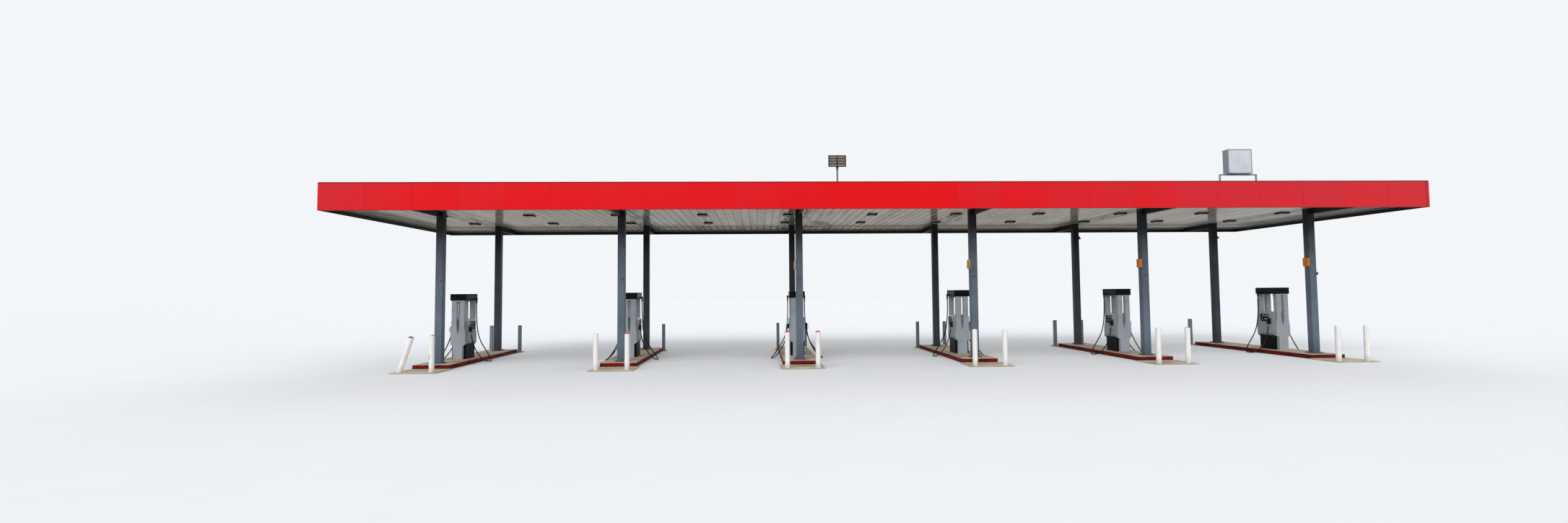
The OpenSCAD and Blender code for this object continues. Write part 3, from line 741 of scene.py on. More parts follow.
@dataclass(frozen=True)
class KerbPaint:
    """Red paint on the steel kerbs, with tyre marks, chips along the top and grime at the foot."""

    name: str = "kerb_red"
    base: tuple = srgb(134, 24, 19)
    worn: tuple = srgb(96, 32, 27)
    rubber: tuple = srgb(30, 21, 20)
    bare: tuple = srgb(128, 112, 102)
    top: float = 0.15

    def make(self) -> bpy.types.Material:
        """Mixes the worn red, tyre marks, grime and chips.

        Returns:
            The kerbs' material.
        """
        b = Board(self.name)
        b.colour = b.mix(b.noise(1.7, 5.0, 0.6).step(0.35, 0.7), self.base, self.worn)
        marks = b.noise(2.6, 6.0, 0.7, (0.5, 0.5, 5.0)).step(0.47, 0.6)
        b.lay(marks * 0.75, self.rubber)
        foot = b.z.step(self.top / 2, 0.0)
        b.lay((foot + b.noise(9.0, 5.0) * 0.5 - 0.25).unit() * 0.8, self.rubber)
        edge = b.z.step(self.top - 0.03, self.top)
        chips = (b.noise(13.0, 6.0, 0.75) + edge * 0.11).step(0.63, 0.65)
        b.lay(chips * 0.8, self.bare)
        return b.finish(Roughness=0.5 + 0.2 * marks, Specular_IOR_Level=0.05,
                        Normal=b.bump(b.noise(40.0, 4.0) - chips * 0.5, 0.002))


@dataclass(frozen=True)
class Concrete:
    """Trowelled concrete with fine grit and dark patches, with more of them further back."""

    name: str = "concrete"
    base: tuple = srgb(180, 165, 142)
    pale: tuple = srgb(204, 190, 166)
    stain: tuple = srgb(88, 80, 71)

    def make(self) -> bpy.types.Material:
        """Mixes the pale and dark patches and the grit.

        Returns:
            The material of islands and pads.
        """
        b = Board(self.name)
        cloud = b.noise(1.6, 6.0, 0.65)
        b.colour = b.mix(cloud.step(0.3, 0.7), self.base, self.pale)
        blot = b.noise(0.9, 6.0, 0.7).step(0.5, 0.74)
        b.lay(blot * 0.6, self.stain)
        # More dark patches from y = -3.6 back.
        inner = b.y.step(-3.6, -1.6) * b.noise(0.7, 5.0, 0.65).step(0.3, 0.62)
        b.lay(inner * 0.45, self.stain)
        grit = b.noise(140.0, 3.0, 0.7)
        b.colour = b.tint(b.colour, 0.86 + 0.28 * grit)
        lumps = b.noise(24.0, 6.0, 0.7)
        return b.finish(Roughness=0.82 + 0.12 * cloud,
                        Normal=b.bump(lumps + grit * 0.4, 0.003))


@dataclass(frozen=True)
class BollardPaint:
    """White paint on a pipe, with older red or yellow coats at the tops of the first pairs."""

    name: str = "bollard_white"
    base: tuple = srgb(248, 247, 245)
    grey: tuple = srgb(180, 176, 169)
    red: tuple = srgb(205, 52, 40)
    yellow: tuple = srgb(236, 220, 172)
    rust: tuple = srgb(176, 84, 34)
    green: tuple = srgb(176, 190, 60)
    grime: tuple = srgb(70, 26, 20)
    splash: tuple = srgb(118, 112, 104)
    crown_to: float = -1.0
    top: float = 1.262
    yellow_at: tuple = (-15.28, -9.92)
    mark_at: tuple = (-15.34, 0.52)
    rim_at: float = 10.32

    def make(self) -> bpy.types.Material:
        """Mixes the white coat, the older coats, the green mark and the splashes.

        Returns:
            The front bollards' material.
        """
        b = Board(self.name)
        cloud = b.noise(3.0, 5.0, 0.6)
        b.colour = b.mix(cloud.step(0.5, 0.85) * 0.4, self.base, self.grey)
        scrape = b.noise(12.0, 6.0, 0.7, (1.0, 1.0, 0.3)).step(0.65, 0.7)
        b.lay(scrape * 0.45, self.grey)
        first, second = self.yellow_at
        tilt = b.x.step(first - 0.5, first - 0.6) * 0.06
        edge = b.z + tilt + b.noise(18.0, 5.0, 0.7) * 0.08
        crown = (edge.step(self.top - 0.014, self.top + 0.004)
                 * b.x.step(self.crown_to, self.crown_to - 0.2))
        rim = edge.step(self.top + 0.005, self.top + 0.02) * b.x.near(self.rim_at, 0.3, 0.05)
        kept = b.x.near(second, 0.3, 0.05) * b.x.step(second - 0.02, second + 0.05)
        crown = ((crown + rim * 0.8) * (1 - kept)).least(1.0)
        chips = b.noise(14.0, 5.0, 0.75).step(0.69, 0.71) * b.z.step(0.8, 1.15) * 0.7
        pick = b.x.near(first, 0.3, 0.05) + b.x.near(second, 0.3, 0.05)
        leaning = b.x.step(first - 0.3, first - 0.4)
        older = b.mix(leaning * 0.55, b.mix(pick, self.red, self.yellow), self.grime)
        b.lay((crown + chips).least(1.0), older)
        half = b.x.step(first, first + 0.03) * b.x.step(first + 0.4, first + 0.3)
        b.lay(crown * half * cloud.step(0.3, 0.45) * 0.8, self.rust)
        x, z = self.mark_at
        mark = b.x.near(x, 0.035, 0.01) * b.z.near(z, 0.08, 0.02)
        b.lay(mark * b.noise(14.0, 3.0).step(0.25, 0.35), self.green)
        foot = b.z.step(0.3, 0.02) * (0.25 + 0.6 * b.noise(9.0, 4.0))
        b.lay(foot * 0.6, self.splash)
        return b.finish(Roughness=0.4 + 0.2 * cloud,
                        Normal=b.bump(b.noise(30.0, 4.0) + scrape * 0.4, 0.0015))


@dataclass(frozen=True)
class Coat:
    """Even factory coat, plastic or rubber, with a light film of dust and fine texture.

    It may be darker on the back half of the canopy, as painted shade, or have another colour
    between two heights.
    """

    name: str
    base: tuple
    dust: tuple = srgb(150, 146, 138)
    dusty: float = 0.18
    gloss: float = 0.35
    metallic: float = 0.0
    grain: float = 120.0
    relief: float = 0.0004
    specular: float = 0.35
    shade_behind: tuple | None = None
    mast: tuple | None = None
    mast_grey: tuple = (0.2, 0.2, 0.2)

    def make(self) -> bpy.types.Material:
        """Mixes the coat, its other colours and the dust on it.

        Returns:
            The material of one kind of fitting.
        """
        b = Board(self.name)
        cloud = b.noise(2.4, 5.0, 0.6)
        runs = b.noise(11.0, 4.0, 0.6, (1.0, 1.0, 0.15)).step(0.55, 0.8)
        film = cloud.step(0.4, 0.8) * self.dusty + runs * self.dusty * 0.6
        b.colour = self.base
        # Painted shade on the back half of the canopy.
        if self.shade_behind is not None:
            b.lay(b.y.step(0.0, 0.2), self.shade_behind)
        if self.mast is not None:
            low, high = self.mast
            b.lay(b.z.within(low - 0.01, high + 0.01, 0.01), self.mast_grey)
        b.lay(film.least(1.0), self.dust)
        rough = self.gloss + 0.25 * film + 0.08 * cloud
        return b.finish(Roughness=rough, Metallic=self.metallic,
                        Normal=b.bump(b.noise(self.grain, 2.0), self.relief),
                        Specular_IOR_Level=self.specular)


@dataclass(frozen=True)
class AmberPlastic:
    """Amber plastic, bleached to tan on the left of the canopy and still strong on the right."""

    name: str = "amber_plastic"
    bleached: tuple = srgb(204, 164, 118)
    faded: tuple = srgb(206, 150, 66)
    strong: tuple = srgb(226, 130, 26)
    grime: tuple = srgb(96, 62, 34)

    def make(self) -> bpy.types.Material:
        """Mixes the bleached and the strong amber with grime.

        Returns:
            The amber boxes' material.
        """
        b = Board(self.name)
        b.colour = b.mix(b.x.step(-1.0, 1.0), self.bleached, self.faded)
        b.lay(b.x.step(5.0, 7.0), self.strong)
        cloud = b.noise(9.0, 5.0, 0.65)
        b.lay(cloud.step(0.45, 0.75) * 0.45, self.grime)
        return b.finish(Roughness=0.4 + 0.2 * cloud,
                        Normal=b.bump(b.noise(90.0, 2.0), 0.0004), Specular_IOR_Level=0.3)


@dataclass(frozen=True)
class Spangle:
    """Galvanized sheet with its patchy spangle and white bloom."""

    name: str = "galvanized"
    base: tuple = srgb(170, 174, 178)
    dark: tuple = srgb(120, 124, 128)

    def make(self) -> bpy.types.Material:
        """Mixes the flakes and the bloom.

        Returns:
            The material of galvanized sheet.
        """
        b = Board(self.name)
        flakes = b.node("ShaderNodeTexVoronoi", {"feature": "F1"},
                        {"Vector": b.place, "Scale": 60.0}, out="Color")
        tone = b.node("ShaderNodeSeparateColor", inputs={0: flakes})
        bloom = b.noise(2.0, 5.0, 0.6)
        b.colour = b.mix(tone * 0.5 + bloom * 0.4, self.base, self.dark)
        return b.finish(Roughness=0.4 + 0.25 * bloom, Metallic=0.8,
                        Normal=b.bump(tone, 0.0003))


def mix_palette() -> Palette:
    """Makes every finish of the canopy.

    Returns:
        The materials, each by its record slot or by a name of its own.
    """
    grey_dirt = srgb(58, 62, 66)
    finishes = [
        FasciaPaint(), Concrete(), KerbPaint(), BollardPaint(), Spangle(), AmberPlastic(),
        DeckPaint("deck_white", step=PITCH / 21, start=FIRST_LINE),
        DeckPaint("deck_white_left", step=0.294, start=-18.74),
        DeckPaint("deck_white_right", step=0.3175, start=16.2),
        # The columns carry painted shade from 3.9 m up and on the back row.
        SteelPaint("column_grey", srgb(104, 117, 131), grey_dirt, foot=0.15, worn=0.2,
                   painted_shade_from=3.9, painted_shade_behind=0.5, specular=0.15),
        # Lighter than the columns: painted sunlight on the rear posts.
        SteelPaint("post_grey_painted_sunlight", srgb(146, 158, 170), srgb(92, 96, 100), foot=0.0, worn=0.25),
        SteelPaint("frame_steel", srgb(142, 148, 152), srgb(84, 82, 78), worn=0.4,
                   shade_below=5.475),
        # Near black: painted shade on steel that is painted like the columns.
        SteelPaint("outrigger_dark", srgb(30, 31, 33), srgb(18, 18, 18), worn=0.15),
        SteelPaint("cap_dark", srgb(150, 22, 30), srgb(84, 24, 28), bare=srgb(128, 124, 118),
                   gloss=0.4, worn=0.15),
        Coat("dispenser_black", srgb(8, 9, 12), gloss=0.4, dusty=0.015, specular=0.08),
        Coat("dispenser_grey", srgb(158, 166, 173), srgb(104, 102, 96), dusty=0.35,
             gloss=0.36),
        Coat("nozzle_black", srgb(20, 20, 22), gloss=0.45, dusty=0.06, specular=0.2),
        Coat("display_dark", srgb(16, 18, 21), gloss=0.3, dusty=0.03, specular=0.08),
        # Fittings on the back half are darkened as painted shade, like the back columns.
        Coat("fitting_grey", srgb(112, 122, 132), gloss=0.4, shade_behind=srgb(24, 25, 27)),
        Coat("hose_rubber", srgb(14, 14, 15), gloss=0.5, dusty=0.06, grain=300.0, specular=0.15),
        Coat("light_housing", srgb(26, 24, 23), gloss=0.4, dusty=0.04, specular=0.2,
             mast=(5.56, 6.8), mast_grey=srgb(118, 124, 128)),
        Coat("sign_face", srgb(212, 217, 224), srgb(150, 152, 150), dusty=0.25, gloss=0.25),
        Coat("sign_silver", srgb(136, 146, 154), srgb(104, 106, 106), dusty=0.25, gloss=0.4,
             metallic=0.4),
        Coat("lens", srgb(196, 184, 164), srgb(120, 110, 96), dusty=0.3, gloss=0.3),
        Coat("reflector", srgb(168, 158, 148), srgb(110, 92, 78), dusty=0.4, gloss=0.3),
        Coat("rust", srgb(122, 58, 44), srgb(58, 34, 30), dusty=0.8, gloss=0.7),
    ]
    return {finish.name: finish.make() for finish in finishes}


@dataclass(frozen=True)
class Studio:
    """Camera at the photograph's angle, pale floor, soft sky and lamps.

    The camera was fitted to the photograph's 2172 x 724 frame, and its focal length is given
    in pixels of that frame. Each lamp has the point from which it shines towards the origin,
    its apparent size in radians, and its strength.
    """

    frame_width: int = 2172
    focal_px: float = 908.0
    spot: tuple = (-4.455, -26.4, 2.54)
    yaw: float = 0.038
    pitch: float = 0.048
    roll: float = -0.008
    sensor: float = 36.0
    sight: float = 1000.0
    floor_radius: float = 260.0
    floor_level: float = -0.002
    backdrop: tuple = (0.90, 0.92, 0.94)
    daylight: tuple = (0.93, 0.96, 1.0)
    sky: float = 0.6
    paving: tuple = (0.45, 0.434, 0.408)
    floor_tone: float = 0.93
    lamps: tuple = (("key", (-30, -46, 38), 0.7, 1.6), ("fill", (40, -34, 24), 0.9, 0.6),
                    ("back", (10, 50, 34), 0.9, 0.7))

    def build(self) -> None:
        """Makes the camera, floor, world and lamps."""
        self.camera()
        self.floor()
        self.world()
        for name, spot, angle, strength in self.lamps:
            light = bpy.data.lights.new(name, "SUN")
            light.angle = angle
            light.energy = strength
            holder = put(name, light)
            holder.location = spot
            holder.rotation_euler = (-Vector(spot)).to_track_quat("-Z", "Y").to_euler()
        bpy.context.scene.view_settings.view_transform = "Standard"

    def camera(self) -> None:
        """Puts the camera where the photographer stood, from its yaw, pitch and roll."""
        cam = bpy.data.cameras.new("camera")
        cam.sensor_width = self.sensor
        cam.lens = self.focal_px / self.frame_width * self.sensor
        cam.clip_end = self.sight
        ahead = Vector((math.sin(self.yaw) * math.cos(self.pitch),
                        math.cos(self.yaw) * math.cos(self.pitch), math.sin(self.pitch)))
        level = Vector((math.cos(self.yaw), -math.sin(self.yaw), 0.0))
        upright = level.cross(ahead)
        right = level * math.cos(self.roll) + upright * math.sin(self.roll)
        up = upright * math.cos(self.roll) - level * math.sin(self.roll)
        turn = Matrix((right, up, -ahead)).transposed().to_4x4()
        holder = put("camera", cam)
        holder.matrix_world = Matrix.Translation(self.spot) @ turn
        bpy.context.scene.camera = holder

    def floor(self) -> None:
        """Lays a round floor just under the islands, pale to the camera and duller to light."""
        turn = np.linspace(0, 2 * math.pi, 64, endpoint=False)
        ring = points_of(self.floor_radius * np.cos(turn), self.floor_radius * np.sin(turn),
                         self.floor_level)
        mesh = bpy.data.meshes.new("floor")
        mesh.from_pydata(ring.tolist(), [], [list(range(len(ring)))])
        board = Board("floor")
        grit = board.noise(0.6, 4.0)
        pale = board.tint(self.backdrop, self.floor_tone * (0.98 + 0.04 * grit))
        seen = board.node("ShaderNodeLightPath", out="Is Camera Ray")
        board.colour = board.mix(seen, self.paving, pale)
        mesh.materials.append(board.finish(Roughness=0.9, Specular_IOR_Level=0.1))
        floor = put("floor", mesh)

    def world(self) -> None:
        """Lights the scene with an even sky, which the camera and mirrors see as pale."""
        world = bpy.data.worlds.new("sky")
        world.use_nodes = True
        tree = world.node_tree
        tree.nodes.clear()
        path, seen, lit, shown, mix, out = (tree.nodes.new(f"ShaderNode{kind}") for kind in (
            "LightPath", "Math", "Background", "Background", "MixShader", "OutputWorld"))
        seen.operation = "MAXIMUM"
        lit.inputs["Color"].default_value = (*self.daylight, 1.0)
        lit.inputs["Strength"].default_value = self.sky
        shown.inputs["Color"].default_value = (*self.backdrop, 1.0)
        for source, target in (
                (path.outputs["Is Camera Ray"], seen.inputs[0]),
                (path.outputs["Is Glossy Ray"], seen.inputs[1]),
                (seen.outputs[0], mix.inputs[0]), (lit.outputs[0], mix.inputs[1]),
                (shown.outputs[0], mix.inputs[2]), (mix.outputs[0], out.inputs[0])):
            tree.links.new(source, target)
        bpy.context.scene.world = world


def paint_frame(palette: Palette) -> None:
    """Gives every node of the frame its finish.

    Args:
        palette: The finishes.
    """
    for name in SLOTS:
        materials = frame["nodes"][name].data.materials
        materials.clear()
        materials.append(palette[finish_of(name)])
    LOG.info("painted %d nodes", len(SLOTS))


def extent(node: str) -> tuple[np.ndarray, np.ndarray]:
    """Lowest and highest corner of a frame node's box."""
    low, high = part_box(node)
    return np.array(low), np.array(high)


def centre(node: str) -> np.ndarray:
    """Middle of a frame node's box."""
    low, high = extent(node)
    return (low + high) / 2


def line(k: int) -> float:
    """Place along the canopy of column pair k, from 1."""
    return centre(f"front_column_{k}")[0]


def lanes() -> Iterator[tuple[int, Side]]:
    """The number of every island, with each of its lane sides."""
    return itertools.product(range(1, PAIRS + 1), Side)


@dataclass(frozen=True)
class FuelHose:
    """Free rubber hose from the outlet under a dispenser's header to the nozzle in its boot.

    The route starts at the swivel, drops beside the dispenser, goes over the kerb, lies on
    the paving and comes back. Its places are measured out from the dispenser's side, along
    the island from the dispenser's middle, and up from the island's top.
    """

    route: tuple = (
        (0.060, 0.330, 2.100), (0.060, 0.330, 1.900), (0.064, 0.334, 1.670), (0.072, 0.342, 1.430),
        (0.086, 0.354, 1.200), (0.110, 0.370, 0.980), (0.150, 0.390, 0.780), (0.215, 0.410, 0.590),
        (0.300, 0.425, 0.420), (0.400, 0.430, 0.260), (0.500, 0.415, 0.110), (0.595, 0.375, -0.020),
        (0.670, 0.300, -0.098), (0.715, 0.190, -0.122), (0.725, 0.060, -0.125),
        (0.690, -0.065, -0.120), (0.610, -0.155, -0.080), (0.515, -0.215, 0.010),
        (0.415, -0.250, 0.140), (0.320, -0.262, 0.290), (0.240, -0.255, 0.450),
        (0.175, -0.238, 0.620), (0.130, -0.215, 0.790), (0.110, -0.200, 0.920),
        (0.110, -0.200, 0.990))
    diameter: float = 0.038
    half_dispenser: float = 0.275
    steps: int = 5
    sides: int = 12

    def curve(self) -> np.ndarray:
        """Points on the smooth curve through the route.

        Between two places b and c, with a before and d after, the curve is half of
        2b + (c - a)t + (2a - 5b + 4c - d)t^2 + (3b - a - 3c + d)t^3.

        Returns:
            The points, still measured from the dispenser.
        """
        p = np.array(self.route)
        p = np.vstack([p[:1], p, p[-1:]])
        a, b, c, d = (p[i:len(p) - 3 + i][:, None] for i in range(4))
        t = (np.arange(self.steps) / self.steps)[None, :, None]
        inner = 0.5 * (2 * b + (c - a) * t + (2 * a - 5 * b + 4 * c - d) * t ** 2
                       + (3 * b - a - 3 * c + d) * t ** 3)
        return np.vstack([inner.reshape(-1, 3), p[-1:]])

    def placed(self, points: np.ndarray, k: int, side: Side) -> np.ndarray:
        """Moves points from beside a dispenser to their place in the frame.

        Args:
            points: Rows of points, measured as those of the route.
            k: The island's number, from 1.
            side: Its lane side.

        Returns:
            The moved points.
        """
        start = np.array([line(k), centre("dispenser_headers")[1], extent("pump_islands")[1][2]])
        out, along, up = points.T
        return start + np.stack([side.value * (self.half_dispenser + out), along, up], -1)

    def build(self, k: int, side: Side, palette: Palette) -> bpy.types.Object:
        """Lays the hose on one lane side of an island.

        Args:
            k: The island's number, from 1.
            side: Its lane side.
            palette: The finishes.

        Returns:
            The hose.
        """
        path = self.placed(self.curve(), k, side)
        name = f"{side.name.lower()}_hose_{k}"
        heap = Heap(f"{name}_rubber", "hose_rubber")
        heap.sweep(path, self.diameter / 2, self.sides)
        hose = heap.build(palette)
        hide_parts(name)
        return hose


class Trim:
    """Fittings that the frame doesn't hold. Each kind of trim fills its own heaps."""

    def fill(self) -> list[Heap]:
        """The fittings' surfaces, as one heap for each piece."""
        raise NotImplementedError

    def build(self, palette: Palette) -> list[bpy.types.Object]:
        """Makes a dressed piece of each heap, and returns the pieces in order."""
        return [heap.build(palette) for heap in self.fill()]


@dataclass(frozen=True)
class HoseEnds(Trim):
    """Ribbed metal ferrules at both ends of every hose."""

    hose: FuelHose
    radius: float = 0.019
    length: float = 0.075
    ribs: int = 3

    def profile(self) -> list[tuple[float, float]]:
        """Half section of a ferrule: ribs of a cosine wave on a sleeve.

        Returns:
            (radius, height) pairs from the foot up.
        """
        steps = np.linspace(0, 1, 8 * self.ribs + 1)
        waves = self.radius * (1.32 + 0.1 * np.cos(2 * math.pi * self.ribs * steps))
        rows = [(float(r), float(self.length * t)) for r, t in zip(waves, steps)]
        return [(self.radius * 0.9, 0.0), *rows, (self.radius * 0.9, self.length)]

    def fill(self) -> list[Heap]:
        """Puts two ferrules on each hose.

        Returns:
            The ferrules.
        """
        heap = Heap("hose_ferrules", "sign_silver")
        stops = np.array([self.hose.route[0], self.hose.route[-1]])
        for k, side in lanes():
            for spot in self.hose.placed(stops, k, side):
                heap.lathe(self.profile(), spot - [0, 0, self.length], sides=16)
        return [heap]


@dataclass(frozen=True)
class DispenserTrim(Trim):
    """Windows, keys, locks and header panels on both lane sides of every dispenser.

    Panels are given as half their width, half their height, thickness and rise, and their
    spots from the middle and the foot of the display. Faces are distances from the column
    line.
    """

    face: float = 0.297
    header_face: float = 0.287
    base_face: float = 0.26
    window: tuple = (0.075, 0.026, 0.001, 0.0015)
    bezel: tuple = (0.087, 0.038, 0.003, 0.0)
    window_spots: tuple = (-0.13, 0.06)
    window_drop: float = 0.07
    proud: float = 0.0032
    key: tuple = (0.009, 0.009, 0.003, 0.001)
    key_step: float = 0.028
    key_spot: tuple = (0.1, 0.05)
    key_rows: int = 4
    button: tuple = (0.028, 0.036, 0.004, 0.004)
    button_step: float = 0.075
    button_spot: tuple = (-0.16, 0.1)
    reader: tuple = (0.045, 0.016, 0.010, 0.002)
    reader_spot: tuple = (0.13, 0.185)
    header: tuple = (0.47, 0.056, 0.002, 0.003)
    lock: tuple = ((0.014, -0.002), (0.014, 0.004), (0.0112, 0.007), (0.004, 0.0075),
                   (0.0035, 0.004))
    lock_drop: float = 0.09
    lock_inset: float = 0.04
    lock_shift: float = 0.05

    @staticmethod
    def panel(heap: Heap, shape: tuple, out: int, *spot: float) -> None:
        """Adds a panel that looks out into its lane.

        Args:
            heap: What it is added to.
            shape: Half its width, half its height, its thickness and its rise.
            out: -1 on the left lane side, and 1 on the right.
            spot: Middle of its back.
        """
        half_y, half_z, thick, rise = shape
        heap.crown(np.array(spot), np.array([0.0, out * half_y, 0.0]),
                   np.array([0.0, 0.0, half_z]), thick, rise)

    def fill(self) -> list[Heap]:
        """Fits out both lane sides of every dispenser.

        Returns:
            The windows, keys, bezels, locks and header panels.
        """
        windows = Heap("dispenser_windows", "sign_silver")
        keys = Heap("dispenser_keys", "fitting_grey")
        bezels = Heap("dispenser_bezels", "nozzle_black")
        locks = Heap("dispenser_locks", "sign_silver")
        panels = Heap("header_panels", "display_dark")
        foot, top = (end[2] for end in extent("dispenser_panels"))
        middle = centre("dispenser_panels")[1]
        header = centre("dispenser_headers")
        low, high = extent("dispenser_bases")
        lock_spots = (low[1] + self.lock_inset, (low[1] + high[1]) / 2 + self.lock_shift,
                      high[1] - self.lock_inset)
        for k, side in lanes():
            out = side.value
            face = line(k) + out * self.face
            for y in self.window_spots:
                z = top - self.window_drop
                self.panel(bezels, self.bezel, out, face, middle + y, z)
                self.panel(windows, self.window, out, face + out * self.proud, middle + y, z)
            y, z = self.key_spot
            for row, column in itertools.product(range(self.key_rows), range(3)):
                self.panel(keys, self.key, out, face, middle + y + column * self.key_step,
                           foot + z + row * self.key_step)
            y, z = self.button_spot
            for place in range(3):
                self.panel(keys, self.button, out, face, middle + y + place * self.button_step,
                           foot + z)
            y, z = self.reader_spot
            self.panel(bezels, self.reader, out, face, middle + y, foot + z)
            self.panel(panels, self.header, out, line(k) + out * self.header_face, *header[1:])
            for y in lock_spots:
                locks.lathe(self.lock, (line(k) + out * self.base_face, y,
                                        high[2] - self.lock_drop), (out, 0, 0), 16)
        return [windows, keys, bezels, locks, panels]


@dataclass(frozen=True)
class SoffitLenses(Trim):
    """Crowned prismatic lens in the recess of each soffit light.

    The lights are evenly spaced, and the outermost lie half a light inside the node's box.
    """

    half: float = 0.137
    back: float = 0.0125
    thick: float = 0.0065
    rise: float = 0.005
    half_light: float = 0.2
    columns: int = 11

    def fill(self) -> list[Heap]:
        """Puts a lens in each light.

        Returns:
            The lenses.
        """
        low, high = extent("soffit_lights")
        heap = Heap("soffit_lenses", "lens", "sign_face")
        u, v = np.array([0, self.half, 0]), np.array([self.half, 0, 0])
        for x in np.linspace(low[0] + self.half_light, high[0] - self.half_light, self.columns):
            for y in (low[1] + self.half_light, high[1] - self.half_light):
                heap.crown(np.array([x, y, low[2] + self.back]), u, v, self.thick, self.rise)
        return [heap]


@dataclass(frozen=True)
class FloodReflectors(Trim):
    """Bright troughs in the floodlight's cells, and a glass tube in each.

    The trough's section is a parabola from lip to lip, closed by a flat back.
    """

    width: float = 0.61
    height: float = 0.39
    bar: float = 0.02
    rows: int = 4
    back: float = 0.0122
    lip: float = -0.024
    gap: float = 0.0005
    wall: float = 0.003
    tube_radius: float = 0.006
    tube_y: float = -0.004

    def fill(self) -> list[Heap]:
        """Fills both columns of cells.

        Returns:
            The troughs and the tubes.
        """
        foot = centre("floodlight")
        foot[2] = extent("floodlight")[1][2] - self.height
        cell_w = (self.width - 3 * self.bar) / 2
        cell_h = (self.height - (self.rows + 1) * self.bar) / self.rows
        across = np.linspace(-1, 1, 11)
        depth = self.back - self.wall - (self.back - self.lip) * across ** 2
        y = np.append(depth, [self.back, self.back])
        z = np.append(across, [1.0, -1.0]) * (cell_h / 2 - self.gap)
        x = np.array([-1.0, 1.0]) * (cell_w / 2 - self.gap)
        trough = points_of(x[:, None], y, z)
        tube = points_of(np.linspace(x[0], x[1], 9), self.tube_y, 0.0)
        troughs = Heap("flood_reflectors", "reflector", "sign_face")
        tubes = Heap("flood_tubes", "lens", "sign_face")
        for side, row in itertools.product(Side, range(self.rows)):
            middle = foot + [side.value * (self.width - self.bar) / 4, 0,
                             self.bar + cell_h / 2 + row * (cell_h + self.bar)]
            troughs.sheet(middle + trough)
            tubes.sweep(middle + tube, self.tube_radius, 10)
        return [troughs, tubes]


@dataclass(frozen=True)
class SignFaces(Trim):
    """Plain crowned faces of the roof sign, front and back, and the screws of their edge."""

    half: float = 0.438
    thick: float = 0.002
    rise: float = 0.005
    edge: float = 0.015
    screws: int = 6
    head: tuple = ((0.009, -0.001), (0.009, 0.0015), (0.006, 0.003), (0.001, 0.0032))

    def fill(self) -> list[Heap]:
        """Covers both sides, and puts screws all round.

        Returns:
            The faces and the screws.
        """
        low, high = extent("sign_cabinet")
        outer_low, outer_high = extent("sign_frame")
        middle = centre("sign_cabinet")
        faces = Heap("sign_panels", "sign_face")
        screws = Heap("sign_screws", "sign_silver")
        reach = (high[0] - low[0]) / 2 + self.edge
        spots = np.linspace(-reach, reach, self.screws)
        for out, y, front in ((-1.0, low[1], outer_low[1]), (1.0, high[1], outer_high[1])):
            faces.crown(np.array([middle[0], y, middle[2]]), np.array([-out * self.half, 0, 0]),
                        np.array([0, 0, self.half]), self.thick, self.rise)
            for a, b in itertools.product(spots, (-reach, reach)):
                for x, z in ((a, b), (b, a)):
                    screws.lathe(self.head, (middle[0] + x, front, middle[2] + z), (0, out, 0), 10)
        return [faces, screws]


@dataclass(frozen=True)
class CapSplices(Trim):
    """Thin cover plates over the joints of the fascia's cap, with two screws each."""

    step: float = 3.008
    last: float = 0.5
    width: float = 0.06
    thick: float = 0.002
    cap: float = 0.088
    inset: float = 0.001
    rounding: float = 0.0009
    screw_at: float = 0.03
    head: tuple = ((0.007, 0.0), (0.007, 0.002), (0.004, 0.0035), (0.001, 0.0036))

    def fill(self) -> list[Heap]:
        """Lays plates along all four sides.

        Returns:
            The plates with their screws.
        """
        low, high = extent("fascia_caps")
        heap = Heap("cap_splices", "cap_dark")
        for along, across in ((0, 1), (1, 0)):
            half = np.zeros(3)
            half[[along, across]] = self.width / 2, self.cap / 2
            places = np.arange(low[along] + self.step, high[along] - self.last, self.step)
            for inwards, edge in ((1, low[across]), (-1, high[across])):
                for place in places:
                    spot = high.copy()
                    spot[[along, across]] = place, edge + inwards * (self.cap / 2 + self.inset)
                    top = spot + [0, 0, self.thick]
                    heap.block(spot - half, top + half, self.rounding)
                    for off in (-self.screw_at, self.screw_at):
                        heap.lathe(self.head, top + off * np.eye(3)[across], sides=8)
        return [heap]


@dataclass(frozen=True)
class AlarmCentres(Trim):
    """Dark dished centre of the button on each front column, rusty on the first."""

    radius: float = 0.036
    offsets: tuple = (0.05, 0.05, -0.04, -0.04, 0.04, 0.11)
    height: float = 3.11
    proud: float = 0.002
    dish: tuple = ((1.0, -0.02), (1.0, 0.0), (0.9, 0.002), (0.6, -0.001), (0.1, -0.004))

    def fill(self) -> list[Heap]:
        """Puts a centre in each button.

        Returns:
            The dark centres, and the rusty one.
        """
        dark = Heap("alarm_centres", "nozzle_black")
        rusty = Heap("alarm_centre_rusty", "rust", "fitting_grey")
        front = extent("column_fittings")[0][1]
        profile = [(self.radius * r, h) for r, h in self.dish]
        for k, offset in enumerate(self.offsets, 1):
            heap = rusty if k == 1 else dark
            spot = (line(k) + offset, front - self.proud, self.height)
            heap.lathe(profile, spot, (0, -1, 0), 24)
        return [dark, rusty]


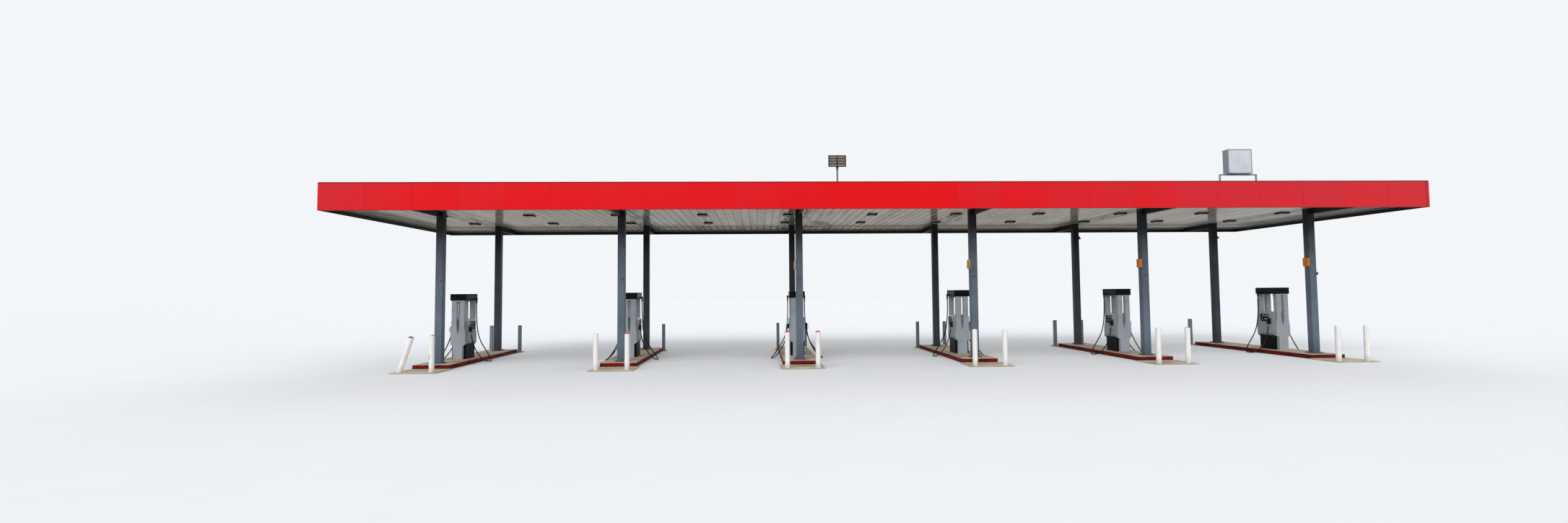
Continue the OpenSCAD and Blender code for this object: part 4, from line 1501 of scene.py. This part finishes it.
@dataclass(frozen=True)
class SpotTrim(Trim):
    """Domed lens and cooling fins of the spotlights on the last two back columns.

    The profiles are in spotlight radii.
    """

    reach: float = 0.09
    radius: float = 0.045
    height: float = 4.92
    off_column: float = 0.197
    aim: tuple = (0.0, -0.8660254, -0.5)
    fins: tuple = (-0.95, -0.25, 6)
    dome: tuple = ((0.9, -0.1), (0.9, 0.04), (0.8, 0.08), (0.5, 0.14), (0.05, 0.17))
    disc: tuple = ((0.7, 0.0), (1.09, 0.0), (1.09, 0.07), (0.7, 0.07))

    def fill(self) -> list[Heap]:
        """Fits out both spotlights.

        Returns:
            The lenses and the fins.
        """
        lenses = Heap("spot_lenses", "lens", "fitting_grey")
        fins = Heap("spot_fins", "nozzle_black", "fitting_grey")
        aim = self.reach * np.array(self.aim)
        dome, disc = ([(r * self.radius, h * self.radius) for r, h in profile]
                      for profile in (self.dome, self.disc))
        for k in (PAIRS - 1, PAIRS):
            y = centre(f"back_column_{PAIRS}")[1]
            middle = np.array([line(k) + self.off_column, y, self.height])
            lenses.lathe(dome, middle + aim, self.aim, 20)
            for place in np.linspace(*self.fins):
                fins.lathe(disc, middle + place * aim, self.aim, 20)
        return [lenses, fins]


@dataclass(frozen=True)
class BollardTab(Trim):
    """White plate welded to the side of the right bollard on the first island.

    It is level along its top, and slants back to the pipe below.
    """

    pipe: tuple = (-15.28, -4.2)
    pipe_radius: float = 0.084
    sunk: float = 0.006
    reach: float = 0.085
    top: float = 0.97
    lip: float = 0.02
    foot: float = 0.84
    thick: float = 0.006

    def fill(self) -> list[Heap]:
        """Cuts the plate.

        Returns:
            The plate.
        """
        heap = Heap("bollard_tab", "bollard_white")
        side = self.pipe[0] - self.pipe_radius
        inner, outer = side + self.sunk, side - self.reach
        x = np.array([inner, inner, outer, outer])
        z = np.array([self.foot, self.top, self.top, self.top - self.lip])
        y = self.pipe[1] + np.array([-1, 1]) * self.thick / 2
        heap.sheet(points_of(x, y[:, None], z))
        return [heap]


# The nodes that a copy with rounded edges stands in for, and the width of its edges.
EASED = {"dispenser_bases": 0.006, "dispenser_bodies": 0.01, "dispenser_headers": 0.012,
         "dispenser_panels": 0.003, "nozzles": 0.004, "soffit_lights": 0.004, "floodlight": 0.003,
         "sign_frame": 0.004, "sign_cabinet": 0.006, "flag_boxes": 0.012, "column_fittings": 0.004,
         "rear_posts": 0.006, "pump_islands": 0.012, "island_kerbs": 0.003, "island_pads": 0.008}


def main() -> None:
    """Builds the studio, then each sub-assembly in order."""
    logging.basicConfig(level=logging.INFO, format="%(name)s: %(message)s")
    Studio().build()
    palette = mix_palette()
    paint_frame(palette)
    for node, width in EASED.items():
        LOG.info("eased %s", eased(node, width, palette).name)
    hose = FuelHose()
    for k, side in lanes():
        LOG.info("laid %s", hose.build(k, side, palette).name)
    for trim in (HoseEnds(hose), DispenserTrim(), SoffitLenses(), FloodReflectors(), SignFaces(),
                 CapSplices(), AlarmCentres(), SpotTrim(), BollardTab()):
        for piece in trim.build(palette):
            LOG.info("built %s", piece.name)


if __name__ == "__main__":
    main()
